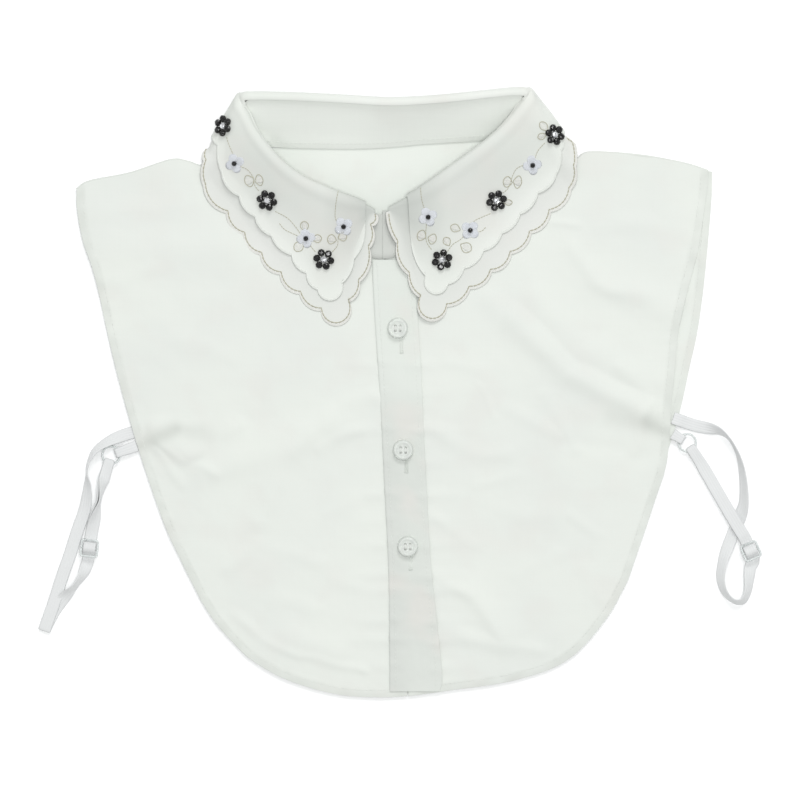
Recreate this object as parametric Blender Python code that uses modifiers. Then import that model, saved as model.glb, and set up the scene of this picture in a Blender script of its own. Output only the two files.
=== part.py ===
"""A detachable shirt collar laid flat: two bib panels, a button placket, a stand and a scalloped leaf.

The tables below are in millimetres, seen from above with +Y towards the back of the neck, and the
meshes are made in metres. The garment lies on its back panel, so its underside is the plane z = 0.
"""

import math

import bmesh
import bpy
import numpy as np
from mathutils import Matrix, Vector
from mathutils.bvhtree import BVHTree

METRES = 0.001

# Cloth layers, from the table up
CLOTH = 1.0
GAP = 0.3
BACK_TOP = CLOTH
FRONT_LOW = BACK_TOP + GAP
FRONT_TOP = FRONT_LOW + CLOTH
PLACKET_LOW = FRONT_TOP + GAP
PLACKET_TOP = PLACKET_LOW + CLOTH
BUTTON_LOW = PLACKET_TOP + GAP

# Collar
LEAF_STEP = 1.5
FOLD_RADIUS = 1.6
FOLD_INSET = LEAF_STEP + CLOTH / 2
LEAF_REST = PLACKET_LOW + CLOTH / 2
TUCK_HEIGHT = CLOTH / 2 + LEAF_STEP
EDGE_MARGIN = 2.0
SEAM_LENGTH = 1.0
INNER_LINE = 4.5
FALL_POWER = 1.25
CREASE_REACH = 3.0
UPPER_SCALLOP = 0.72
SEAM_GAP = 0.45
STAND_END_GAP = 0.6
CORNER_INSET = 7.5
CORNER_DROP = 0.8
STAND_SHARES = (0.0, 0.35, 0.7, 1.0)
ARC_STEPS = 5

# Trim
BUTTON_RADIUS = 5.75
BUTTON_HEIGHT = 2.2
HOLE_CIRCLE = 1.9
HOLE_RADIUS = 0.8
STRAP_WIDTH = 7.0
STRAP_CLOTH = 0.9
STRAP_STEP = 1.3
RING_RADIUS = 5.0
RING_WIRE = 0.6
RING_PASS = 5.4
TAB_WIDTH = 6.2
SLIDER_SIZE = (10.4, 10.4, 1.2)
SLIDER_MIDDLE = 3.6
SLOT_SIZE = (3.3, 8.0, 4.0)
SLOT_PLACE = 2.65
# The long run over a slider's bar: distance along, height, tilt in degrees
SLIDER_PATH = [(-6.2, 0.45, 0), (-4.6, 0.7, 0), (-3.2, 2.2, -50), (-2.0, 4.3, -45), (-0.9, 5.1, 0),
               (0.9, 5.1, 0), (2.0, 4.3, 45), (3.2, 2.7, 35), (4.6, 1.85, 0), (6.2, 1.75, 0)]
# A strap's sewn-down end lies under its slider, at these distances along
STRAP_END = (6.0, 3.0, -0.6)
STONE_RADIUS = 2.0
STONE_RING = 4.1
STONE_HEIGHT = 1.7
BACKING_RADIUS = STONE_RING + 0.9
SEEK_HEIGHT = 4.0

COLOURS = {
    "cotton": ((0.83, 0.86, 0.83), 0.85, 0.0),
    "button": ((0.82, 0.84, 0.84), 0.25, 0.0),
    "stone": ((0.01, 0.01, 0.015), 0.12, 0.0),
    "elastic": ((0.86, 0.88, 0.88), 0.8, 0.0),
    "nylon": ((0.84, 0.86, 0.86), 0.2, 0.0),
}

# Panel outlines: x, y
SHOULDER_RIGHT = [(-182.6, 115.5), (-175.2, 120.1), (-152.4, 124.7), (-129.6, 132.1), (-120.0, 131.4),
                  (-113.0, 128.9), (-105.0, 127.2), (-97.0, 128.4), (-87.0, 133.5), (-80.5, 138.8)]
SHOULDER_LEFT = [(66.8, 146.6), (76.0, 142.6), (87.0, 136.0), (95.0, 132.2), (102.5, 133.0),
                 (110.0, 136.6), (137.7, 134.9), (162.8, 130.4), (177.0, 126.0)]
SIDE_RIGHT = [(-182.6, 115.5), (-182.4, 105.0), (-179.2, 87.0), (-171.8, 64.2), (-161.5, 18.6),
              (-149.0, -27.0), (-133.6, -72.6), (-123.3, -95.4), (-111.9, -118.2)]
HEM_RIGHT = [(-111.9, -118.2), (-104.0, -130.5), (-94.8, -141.0), (-82.9, -152.4), (-62.4, -163.8),
             (-35.0, -171.7), (-12.0, -173.5), (5.7, -172.8)]
SIDE_LEFT = [(177.0, 126.0), (175.9, 112.7), (171.3, 81.9), (165.6, 59.7), (160.3, 36.9),
             (158.1, 14.6), (155.8, -8.2), (153.6, -38.4), (146.8, -61.2), (131.4, -106.8)]
HEM_LEFT = [(131.4, -106.8), (118.3, -129.6), (96.7, -152.4), (67.0, -163.8), (30.6, -169.5),
            (12.9, -172.0), (6.3, -172.8)]
BACK_SIDE_RIGHT = [(-181.2, 114.5), (-181.0, 105.0), (-177.8, 87.0), (-170.4, 64.2), (-160.1, 18.6),
                   (-147.6, -27.0), (-132.3, -72.0), (-122.0, -95.0), (-110.8, -117.2)]
BACK_SIDE_LEFT = [(179.3, 125.8), (178.8, 108.1), (175.3, 67.7), (171.3, 36.9), (166.5, 14.6),
                  (160.6, -12.0), (152.0, -40.0), (145.4, -61.0), (130.0, -106.4)]
BACK_HEM = [(-110.8, -117.2), (-93.8, -140.0), (-82.0, -151.2), (-62.0, -162.5), (-35.0, -170.4),
            (-7.0, -172.2), (30.6, -168.3), (67.0, -162.6), (96.0, -151.4), (117.0, -129.0),
            (130.0, -106.4)]
BACK_NECK = [(-80.5, 138.8), (-69.8, 139.6), (-21.3, 138.9), (12.9, 141.6), (47.1, 143.6),
             (58.5, 145.3), (66.8, 146.6)]
# The fronts meet under the placket, on a line from the neck to the hem
CENTRE_X = -7.0
CENTRE_GAP = 0.6
NECK_OVERLAP = 1.2

# Folds of the fronts: start x, start y, end x, end y, half width, height
FOLDS = [
    (62.0, 40.0, 96.0, 2.0, 9.0, 2.4),
    (96.0, 2.0, 137.0, -15.5, 8.0, 2.6),
    (76.0, 52.0, 104.0, 22.0, 8.0, 1.6),
    (104.0, 22.0, 146.0, 2.0, 8.0, 1.8),
    (126.9, 64.2, 144.0, 47.1, 8.0, 1.5),
    (44.0, -112.0, 68.0, -138.0, 9.0, 1.3),
    (-112.0, -48.0, -34.0, -22.0, 10.0, 1.4),
    (-158.0, 70.0, -100.0, 57.0, 9.0, 1.3),
    (-134.0, -24.0, -118.0, -34.0, 8.0, 1.5),
    (-60.0, -138.0, -36.0, -148.0, 8.0, 1.2),
]

# Collar sections from the front end outwards: fold x, y, z, neck x, y, edge x, y, z,
# upper edge x, y (None where the upper leaf stops short), length of the fall, depth of the scallop
RIGHT_LEAF = [
    (-12.8, 106.1, 8.2, -12.2, 76.8, -13.0, 101.5, 7.4, None, None, 40, 1.8),
    (-15.5, 107.8, 8.6, -17.0, 77.5, -16.2, 95.0, 4.6, None, None, 40, 2.2),
    (-18.5, 109.2, 9.2, -22.0, 78.4, -17.7, 82.3, 4.6, -18.8, 94.5, 40, 3.2),
    (-24.0, 111.5, 10.0, -28.0, 80.0, -23.3, 63.4, 4.2, -24.6, 76.0, 42, 2.4),
    (-29.0, 113.2, 10.8, -34.0, 82.0, -28.8, 52.8, 3.4, -31.5, 62.0, 42, 11.0),
    (-36.0, 115.8, 11.6, -41.0, 85.0, -43.1, 48.3, 3.1, -45.5, 58.5, 43, 2.8),
    (-43.0, 118.6, 12.4, -48.0, 88.5, -54.4, 57.4, 3.1, -51.8, 68.0, 43, 3.0),
    (-50.4, 121.8, 13.2, -55.5, 93.0, -65.5, 68.5, 3.1, -60.1, 78.3, 43, 3.0),
    (-57.5, 126.2, 14.0, -63.0, 98.5, -76.7, 79.7, 3.1, -71.7, 89.2, 42, 2.8),
    (-64.5, 131.8, 14.6, -70.5, 105.5, -86.4, 91.1, 3.1, -81.0, 100.3, 41, 2.8),
    (-71.5, 139.0, 15.0, -77.0, 114.0, -96.0, 103.3, 3.1, -89.9, 111.9, 40, 3.4),
    (-80.0, 150.5, 14.8, -80.6, 126.0, -108.8, 118.4, 3.3, -100.0, 125.5, 40, 1.6),
    (-86.8, 163.0, 14.2, -80.6, 137.0, -108.2, 131.4, 5.2, -102.0, 140.6, 37, 1.0),
]
LEFT_LEAF = [
    (-4.6, 107.6, 8.2, -4.6, 76.8, -4.6, 103.0, 7.4, None, None, 40, 1.6),
    (0.5, 110.3, 8.8, 1.5, 79.0, 1.5, 85.3, 5.2, None, None, 40, 3.0),
    (6.0, 113.4, 9.4, 9.0, 83.2, 8.1, 67.5, 4.9, 8.4, 83.5, 42, 2.2),
    (11.5, 116.5, 10.2, 15.0, 87.2, 14.2, 55.3, 4.7, 16.0, 66.0, 42, 11.0),
    (18.5, 121.2, 11.0, 22.5, 92.0, 27.9, 50.7, 3.3, 28.6, 61.5, 43, 2.8),
    (26.0, 126.3, 11.8, 30.0, 97.2, 40.2, 60.4, 3.1, 37.9, 70.5, 43, 3.0),
    (33.5, 131.6, 12.6, 37.5, 103.0, 52.4, 70.1, 3.1, 49.1, 80.6, 43, 3.0),
    (41.0, 137.0, 13.4, 45.0, 109.5, 63.6, 80.2, 3.1, 59.5, 90.5, 43, 2.8),
    (49.0, 143.0, 14.2, 53.0, 116.7, 74.8, 91.9, 3.1, 69.9, 101.5, 42, 3.0),
    (57.0, 149.8, 14.8, 60.0, 124.6, 86.0, 104.1, 3.1, 80.0, 113.5, 41, 3.0),
    (64.5, 158.0, 15.0, 66.0, 133.5, 97.2, 116.3, 3.2, 90.6, 124.6, 40, 1.8),
    (71.5, 167.0, 14.6, 67.6, 143.0, 99.6, 128.5, 5.0, 93.1, 137.4, 38, 1.0),
]
# The part behind the neck, from left to right, tucked under the leaning stand
BACK_LEAF = [
    (-87.0, 170.6, 14.6, -78.5, 141.2, -108.2, 135.6, TUCK_HEIGHT, -102.5, 145.0, 30, 1.5),
    (-80.0, 171.0, 15.2, -73.0, 140.6, -94.0, 142.4, TUCK_HEIGHT, -88.0, 151.5, 30, 1.6),
    (-68.0, 170.8, 16.0, -63.0, 139.9, -74.0, 146.6, TUCK_HEIGHT, -71.0, 156.0, 30, 1.8),
    (-47.0, 170.0, 17.0, -44.0, 139.4, -50.0, 146.4, TUCK_HEIGHT, -49.0, 156.0, 30, 1.8),
    (-26.0, 168.8, 17.6, -24.0, 139.3, -27.0, 145.8, TUCK_HEIGHT, -26.5, 155.5, 30, 1.8),
    (-5.0, 167.6, 18.0, -4.0, 140.2, -5.0, 146.6, TUCK_HEIGHT, -5.0, 155.5, 30, 1.8),
    (15.0, 168.4, 17.8, 13.0, 141.8, 17.0, 148.2, TUCK_HEIGHT, 16.0, 156.5, 30, 1.8),
    (36.0, 170.2, 17.2, 31.0, 142.9, 39.0, 149.6, TUCK_HEIGHT, 38.0, 158.0, 30, 1.8),
    (56.0, 172.4, 16.2, 49.0, 144.2, 60.0, 151.2, TUCK_HEIGHT, 58.0, 160.5, 30, 1.8),
    (67.0, 173.4, 15.4, 60.0, 146.0, 78.5, 151.2, TUCK_HEIGHT, 73.0, 160.0, 30, 1.6),
    (72.4, 173.2, 14.8, 66.2, 147.8, 99.6, 140.6, TUCK_HEIGHT, 92.8, 148.6, 30, 1.5),
]

# Placket edges: y, left x, right x
PLACKET = [(75.6, -14.4, 10.2), (66.5, -14.0, 10.4), (40.0, -12.6, 11.8), (11.2, -10.6, 13.5),
           (-20.0, -8.8, 14.9), (-54.6, -7.2, 16.6), (-98.6, -5.0, 19.2), (-130.0, -4.5, 22.4),
           (-160.1, -4.4, 25.4), (-170.0, -4.3, 24.4)]
BUTTONS = [(0.2, 36.6), (3.3, -32.7), (5.9, -87.6)]

# Stone flowers: x, y, height of the point that the nearest cloth is sought from, turn in degrees
FLOWERS = [(-100.5, 151.8, 12.0, 10), (-73.8, 109.3, 30.0, 25), (-41.8, 75.9, 30.0, 5),
           (89.0, 146.4, 30.0, 15), (56.2, 109.3, 30.0, 40), (25.3, 75.6, 30.0, 20)]

# Elastics, from the back panel: x, y, height of the middle when flat, roll in degrees
RIGHT_LONG = [(-149.4, -22.3, 0.45, 0), (-156.6, -24.4, 0.45, 8), (-165.5, -28.2, 0.45, 40),
              (-172.4, -33.2, 0.45, 60), (-176.0, -40.0, 0.45, 78), (-176.7, -46.0, 0.45, 84),
              (-176.4, -54.0, 0.6, 45), (-178.0, -66.3, 0.9, 10), (-182.1, -78.3, 1.5, 0),
              (-186.4, -92.0, 1.75, 0), (-190.8, -104.5, 1.75, 0), (-195.4, -119.0, 1.75, 0),
              (-201.0, -135.0, 1.75, 0)]
RIGHT_RETURN = [(-201.0, -135.0, 0.45, 0), (-195.6, -124.5, 0.45, 0), (-189.6, -116.6, 0.45, 20),
                (-184.2, -111.0, 0.45, 62), (-179.6, -104.5, 0.45, 50), (-177.0, -98.2, 0.45, 0)]
RIGHT_DOUBLE = [(-174.2, -80.0, 1.1, 0), (-172.9, -74.0, 1.1, 20), (-171.0, -66.0, 1.1, 68),
                (-169.6, -60.5, 1.1, 86), (-168.2, -53.0, 1.1, 60), (-166.6, -47.5, 1.4, 15)]
RIGHT_SLIDER = (-175.3, -88.6)
RIGHT_RING = (-163.0, -35.6)
RIGHT_TAB = [(-148.4, -30.3, 1.85), (-152.5, -31.8, 2.6)]
LEFT_LONG = [(157.0, -14.4, 1.75, 0), (161.2, -15.9, 1.7, 0), (164.6, -17.1, 0.95, 0),
             (168.2, -18.3, 0.55, 0), (172.0, -19.3, 0.48, 5), (176.5, -20.2, 0.45, 15),
             (182.5, -21.6, 0.45, 50), (187.6, -25.0, 0.45, 78), (191.4, -30.2, 0.45, 82),
             (194.4, -37.0, 0.45, 75), (196.3, -45.0, 0.45, 62), (197.2, -53.6, 0.45, 52),
             (197.2, -62.9, 0.45, 40), (195.4, -70.4, 0.45, 10), (192.6, -77.4, 0.45, 0),
             (189.0, -86.0, 0.45, 10), (185.2, -96.5, 0.45, 42), (184.0, -105.5, 0.45, 50),
             (186.2, -113.6, 0.45, 62), (191.2, -118.6, 0.45, 70), (196.6, -118.8, 0.45, 56),
             (199.6, -113.0, 0.45, 50), (200.4, -105.5, 0.45, 30), (201.0, -99.0, 0.45, 0)]
LEFT_DOUBLE = [(197.6, -82.2, 2.3, 0), (192.7, -74.4, 2.3, 0), (186.7, -64.2, 1.8, 0),
               (178.4, -49.8, 1.2, 0), (172.0, -38.8, 1.3, 0)]
LEFT_SLIDER = (201.2, -90.2)
LEFT_RING = (165.2, -28.6)
LEFT_TAB = [(156.9, -23.5, 1.85), (158.2, -24.3, 2.45)]


def clear_scene():
    for thing in list(bpy.data.objects):
        bpy.data.objects.remove(thing, do_unlink=True)
    for group in list(bpy.data.collections):
        bpy.data.collections.remove(group)


def new_collection(name, hidden=False):
    group = bpy.data.collections.new(name)
    bpy.context.scene.collection.children.link(group)
    group.hide_render = hidden
    return group


def material(kind):
    found = bpy.data.materials.get(kind)
    if found:
        return found
    colour, roughness, metallic = COLOURS[kind]
    made = bpy.data.materials.new(kind)
    made.use_nodes = True
    shader = made.node_tree.nodes["Principled BSDF"]
    shader.inputs["Base Color"].default_value = (*colour, 1.0)
    shader.inputs["Roughness"].default_value = roughness
    shader.inputs["Metallic"].default_value = metallic
    return made


def add_object(name, mesh, kind, group):
    made = bpy.data.objects.new(name, mesh)
    mesh.materials.append(material(kind))
    group.objects.link(made)
    return made


def mesh_of(name, points, faces):
    mesh = bpy.data.meshes.new(name)
    mesh.from_pydata([tuple(value * METRES for value in point) for point in points], [], faces)
    mesh.update()
    return mesh


def thicken(thing, thickness, offset):
    wall = thing.modifiers.new("wall", "SOLIDIFY")
    wall.thickness = thickness * METRES
    wall.offset = offset
    return thing


def through(points, steps):
    """A smooth curve through the points: each span is a Catmull-Rom piece of so many steps."""
    path = np.array(points, float)
    padded = np.vstack([2 * path[0] - path[1], path, 2 * path[-1] - path[-2]])
    curve = []
    for start in range(len(path) - 1):
        before, first, last, after = padded[start:start + 4]
        for step in range(steps):
            t = step / steps
            curve.append(0.5 * (2 * first + (last - before) * t
                                + (2 * before - 5 * first + 4 * last - after) * t ** 2
                                + (3 * first - before - 3 * last + after) * t ** 3))
    curve.append(path[-1])
    return np.array(curve)


def spaced(points, count):
    """So many equal steps along a curve."""
    path = np.array(points, float)
    lengths = np.concatenate([[0], np.cumsum(np.linalg.norm(np.diff(path, axis=0), axis=1))])
    wanted = np.linspace(0, lengths[-1], count + 1)
    return np.stack([np.interp(wanted, lengths, path[:, axis]) for axis in range(path.shape[1])], 1)


def patch(top, bottom, left, right):
    """A grid between four edges: top and bottom run left to right, the sides from top to bottom."""
    down = np.linspace(0, 1, len(left))[:, None, None]
    across = np.linspace(0, 1, len(top))[None, :, None]
    between_rows = (1 - down) * top[None] + down * bottom[None]
    between_sides = (1 - across) * left[:, None] + across * right[:, None]
    corners = ((1 - down) * ((1 - across) * top[0] + across * top[-1])
               + down * ((1 - across) * bottom[0] + across * bottom[-1]))
    return between_rows + between_sides - corners


def grid_faces(rows, columns):
    faces = []
    for row in range(rows - 1):
        for column in range(columns - 1):
            corner = row * columns + column
            faces.append((corner, corner + columns, corner + columns + 1, corner + 1))
    return faces


def fold_height(x, y):
    """How far the folds lift the front cloth at a point."""
    height = 0.0
    for start_x, start_y, end_x, end_y, half_width, tall in FOLDS:
        along_x, along_y = end_x - start_x, end_y - start_y
        length = math.hypot(along_x, along_y)
        share = ((x - start_x) * along_x + (y - start_y) * along_y) / length ** 2
        nearest = min(max(share, 0.0), 1.0)
        away = math.hypot(x - start_x - nearest * along_x, y - start_y - nearest * along_y)
        height = max(height, tall * math.exp(-(away / half_width) ** 2))
    return height if height > 0.05 else 0.0


def folded_panel(name, grid, base, group):
    rows, columns = grid.shape[:2]
    points = []
    for x, y in grid.reshape(-1, 2):
        points.append((x, y, base + fold_height(x, y)))
    mesh = mesh_of(name, points, grid_faces(rows, columns))
    return thicken(add_object(name, mesh, "cotton", group), CLOTH, 1)


def back_panel(group):
    """The back panel is flat, so one face inside its outline is thickened."""
    outline = np.vstack([spaced(through(SHOULDER_RIGHT, 3), 8), spaced(through(BACK_NECK, 3), 7)[1:],
                         spaced(through(SHOULDER_LEFT, 3), 7)[1:],
                         spaced(through(BACK_SIDE_LEFT, 3), 12)[1:],
                         spaced(through(BACK_HEM, 3), 16)[::-1][1:],
                         spaced(through(BACK_SIDE_RIGHT, 3), 12)[::-1][1:-1]])
    mesh = mesh_of("back_panel", [(x, y, 0.0) for x, y in outline], [tuple(range(len(outline)))[::-1]])
    thicken(add_object("back_panel", mesh, "cotton", group), CLOTH, 1)


def neck_edge(sections):
    """The front's neck edge: the stand's foot, moved a little into the neck opening."""
    foot = np.array([section[3:5] for section in sections], float)
    fold = np.array([section[0:2] for section in sections], float)
    inward = (fold - foot) / np.linalg.norm(fold - foot, axis=1)[:, None]
    return foot + inward * NECK_OVERLAP


def front_panel(name, sections, shoulder, side, hem, sign, group):
    """One front: sign is -1 for the wearer's right, on the left as seen, and 1 for the other."""
    centre_top = CENTRE_X + sign * CENTRE_GAP / 2
    neck = neck_edge(sections)[::-1]
    neck[-1] = (centre_top, neck[-1][1])
    shoulder_row = spaced(through(shoulder, 3), 8)
    neck_row = spaced(through(neck, 2), 9)
    seam = np.vstack([shoulder_row[:-1], neck_row])
    centre = spaced([neck[-1], hem[-1]], 18)
    lower = spaced(through(hem, 3), len(seam) - 1)
    outer = spaced(through(side, 3), 18)
    lower[-1] = centre[-1]
    seam[0] = outer[0]
    if sign < 0:
        grid = patch(seam, lower, outer, centre)
    else:
        grid = patch(seam[::-1], lower[::-1], centre, outer)
    folded_panel(name, grid, FRONT_LOW, group)


def fronts(group):
    front_panel("front_right", RIGHT_LEAF, SHOULDER_RIGHT, SIDE_RIGHT, HEM_RIGHT, -1, group)
    front_panel("front_left", LEFT_LEAF, SHOULDER_LEFT[::-1], SIDE_LEFT, HEM_LEFT, 1, group)


def placket(group):
    edges = through(PLACKET, 3)
    points = []
    for y, left, right in edges:
        points += [(left, y, PLACKET_LOW), ((left + right) / 2, y, PLACKET_LOW),
                   (right, y, PLACKET_LOW)]
    mesh = mesh_of("placket", points, grid_faces(len(edges), 3))
    thicken(add_object("placket", mesh, "cotton", group), CLOTH, 1)


def unit(vector):
    return vector / np.linalg.norm(vector)


def fall(share):
    return (1 - min(share, 1.0)) ** FALL_POWER


def front_profile(fold_z, edge_z, length, fall_length, upper):
    """Distance from the fold and height of the leaf's middle, where the leaf lies over the stand."""
    centre = FOLD_INSET + FOLD_RADIUS
    rows = []
    if not upper:
        rows.append((centre + SEAM_LENGTH, fold_z - 2 * FOLD_RADIUS))
    for angle in (-24, -16, -8, 0, 45, 90) if upper else (-90, -45, 0, 45, 90):
        turn = math.radians(angle)
        rows.append((centre - FOLD_RADIUS * math.cos(turn),
                     fold_z - FOLD_RADIUS + FOLD_RADIUS * math.sin(turn)))
    open_length = length - centre
    inner = min(INNER_LINE, 0.25 * open_length)
    for distance in [centre + (open_length - inner) * share for share in (0.12, 0.3, 0.6, 1.0)] + [length]:
        height = edge_z + (fold_z - edge_z) * fall((distance - centre) / (fall_length - centre))
        rows.append((distance, height))
    return rows


def back_profile(fold_z, edge_z, length):
    """The same where the leaf drops behind the leaning stand and is tucked under it."""
    inset = FOLD_INSET
    open_length = length - inset - 2.5
    inner = min(INNER_LINE, 0.25 * open_length)
    return [(inset + 4.8, fold_z - 1.2), (inset + 3.8, fold_z - 0.5), (inset + 2.5, fold_z),
            (inset + 1.0, fold_z - 0.8), (inset, fold_z - 3.2), (inset, 0.5 * fold_z),
            (inset + 0.6, edge_z + 1.6), (inset + 2.5, edge_z),
            (length - inner - 0.45 * (open_length - inner), edge_z), (length - inner, edge_z),
            (length, edge_z)]


def shortened(profile, length):
    """The profile of the upper layer: it ends sooner, and keeps to the lower layer's line."""
    distances = [distance for distance, _ in profile]
    inner = min(INNER_LINE, 0.25 * (length - distances[5]))
    distances[-2:] = [length - inner, length]
    distances[-3] = min(distances[-3], 0.5 * (distances[-4] + distances[-2]))
    line = np.array(profile[5:])
    heights = [height for _, height in profile[:6]]
    heights += list(np.interp(distances[6:], line[:, 0], line[:, 1]))
    return list(zip(distances, heights))


def moved_out(sections, distance):
    """A grid of sections moved out of the cloth's face, square to it, and kept off the table."""
    down = np.gradient(sections, axis=1)
    along = np.gradient(sections, axis=0)
    face = np.cross(along, down)
    face /= np.linalg.norm(face, axis=2)[:, :, None]
    moved = sections + face * distance
    moved[:, :, 2] = np.maximum(moved[:, :, 2], CLOTH / 2)
    return moved


def section_points(section, behind, upper):
    """The points of one section of the leaf: the upper layer lies outside the lower one."""
    fold = np.array(section[0:2], float)
    neck = np.array(section[3:5], float)
    edge = np.array(section[5:7], float)
    fold_z, edge_z, fall_length = section[2], section[7], section[10]
    length = np.linalg.norm(edge - fold)
    if behind:
        profile = back_profile(fold_z, edge_z, length)
        shares = (0, 0, 0.1, 0.3, 0.5, 0.7, 1, 1, 1, 1, 1)
    else:
        profile = front_profile(fold_z, edge_z, length, fall_length, upper)
        shares = (0, 0, 0.15, 0.5, 0.85, 1, 1, 1, 1, 1, 1)
    if upper:
        upper_edge = np.array(section[8:10], float)
        profile = shortened(profile, np.linalg.norm(upper_edge - fold))
    points = []
    for (distance, height), share in zip(profile, shares):
        heading = unit((1 - share) * unit(neck - fold) + share * unit(edge - fold))
        flat = fold + heading * distance
        points.append((flat[0], flat[1], height))
    points = np.array(points)
    if upper:
        inward = unit(points[-3, :2] - upper_edge)
        points[-2, :2] = upper_edge + inward * (profile[-1][0] - profile[-2][0])
        points[-1, :2] = upper_edge
    return points


def crease_sections(front, back, sign):
    """The rounded side edge, where the leaf turns from the top of the stack to its underside."""
    along = unit(front[-1, :2] - front[3, :2])
    outward = np.array([-along[1], along[0]]) * -sign
    sections = []
    for angle in (36, 72, 108, 144):
        turn = math.radians(angle)
        share = (1 - math.cos(turn)) / 2
        section = (1 - share) * front + share * back
        push = np.minimum(np.abs(front[:, 2] - back[:, 2]) / 2, CREASE_REACH) * math.sin(turn)
        section[:, :2] += push[:, None] * outward
        sections.append(section)
    return sections


def edge_shift(ends, amount):
    """How far each edge point moves out of the cloth, square to the edge."""
    steps = np.diff(ends[:, :2], axis=0)
    steps /= np.linalg.norm(steps, axis=1)[:, None]
    steps = np.vstack([steps[:1], steps, steps[-1:]])
    along = steps[:-1] + steps[1:]
    along /= np.linalg.norm(along, axis=1)[:, None]
    return np.stack([-along[:, 1], along[:, 0], 0 * along[:, 0]], 1) * amount


def sections_with_edge(sections, upper):
    return [section for section in sections if section[8] is not None or not upper]


def leaf_sections(upper):
    """All sections of the leaf, from its front end on the left as seen, round the back, to the right."""
    runs = []
    for table, behind in ((RIGHT_LEAF, False), (BACK_LEAF, True), (LEFT_LEAF[::-1], False)):
        run = np.array([section_points(section, behind, upper)
                        for section in sections_with_edge(table, upper)])
        if not upper:
            run[:, -1] += edge_shift(run[:, -1], EDGE_MARGIN)
        runs.append(run)
    first, behind, last = runs
    sections = np.array([*first, *crease_sections(first[-1], behind[0], 1), *behind,
                         *crease_sections(last[0], behind[-1], -1)[::-1], *last])
    return moved_out(sections, LEAF_STEP) if upper else sections


def scallop_depths(upper):
    """The depth of the scallop between each section and the next."""
    scale = UPPER_SCALLOP if upper else 1.0
    right, behind, left = [[section[11] * scale for section in sections_with_edge(table, upper)]
                           for table in (RIGHT_LEAF, BACK_LEAF, LEFT_LEAF)]
    return right[:-1] + [0.0] * 5 + behind[:-1] + [0.0] * 5 + left[:-1][::-1]


def scalloped_leaf(name, upper, group):
    sections = leaf_sections(upper)
    count, rows = sections.shape[:2]
    points = [tuple(point) for point in sections.reshape(-1, 3)]
    faces = []
    for column in range(count - 1):
        for row in range(rows - 2):
            corner = column * rows + row
            faces.append((corner, corner + 1, corner + rows + 1, corner + rows))
    for column, depth in enumerate(scallop_depths(upper)):
        start, end = column * rows + rows - 1, (column + 1) * rows + rows - 1
        arc = scallop(sections[column, -1], sections[column + 1, -1], depth)
        indices = list(range(len(points), len(points) + len(arc)))
        points += [tuple(point) for point in arc]
        faces.append((start - 1, start, *indices, end, end - 1))
    mesh = mesh_of(name, points, faces)
    return thicken(add_object(name, mesh, "cotton", group), CLOTH, 0)


def scallop(start, end, depth):
    """The points between two cusps, on an arc of a circle of the given depth."""
    if depth == 0:
        return []
    chord = end - start
    length = math.hypot(chord[0], chord[1])
    outward = np.array([-chord[1], chord[0], 0.0]) / length
    radius = (length ** 2 / 4 + depth ** 2) / (2 * depth)
    half = math.asin(min(1.0, length / 2 / radius))
    if depth > radius:
        half = math.pi - half
    middle = (start + end) / 2 + outward * (depth - radius)
    steps = ARC_STEPS if half < 1.2 else 2 * ARC_STEPS
    arc = []
    for step in range(1, steps):
        angle = -half + 2 * half * step / steps
        point = middle + radius * (math.sin(angle) * chord / length + math.cos(angle) * outward)
        point[2] = start[2] + (end[2] - start[2]) * step / steps
        arc.append(point)
    return arc


def stand_points(section, behind, along):
    """One section of the stand, from just under the leaf's seam down to the neck seam."""
    fold = np.array(section[0:2], float)
    neck = np.array(section[3:5], float)
    heading = unit(neck - fold)
    length = np.linalg.norm(neck - fold)
    slant = max(abs(heading[0] * along[1] - heading[1] * along[0]), 0.3)
    if behind:
        top_distance, top_z = FOLD_INSET + 4.8 + SEAM_GAP / slant, section[2] - 1.35
        at_side = section in (BACK_LEAF[0], BACK_LEAF[-1])
        foot_z = LEAF_REST if at_side else BACK_TOP + GAP + CLOTH
    else:
        top_distance = FOLD_INSET + FOLD_RADIUS + SEAM_LENGTH + SEAM_GAP / slant
        top_z, foot_z = section[2] - 2 * FOLD_RADIUS - 0.05, LEAF_REST
    if section in (RIGHT_LEAF[-1], LEFT_LEAF[-1], BACK_LEAF[0], BACK_LEAF[-1]):
        share = CORNER_INSET / (length - top_distance)
        top_distance += CORNER_INSET
        top_z -= share * (top_z - foot_z) + CORNER_DROP
    points = []
    for share in STAND_SHARES:
        flat = fold + heading * (top_distance + (length - top_distance) * share)
        points.append((flat[0], flat[1], top_z + (foot_z - top_z) * share))
    return np.array(points)


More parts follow.
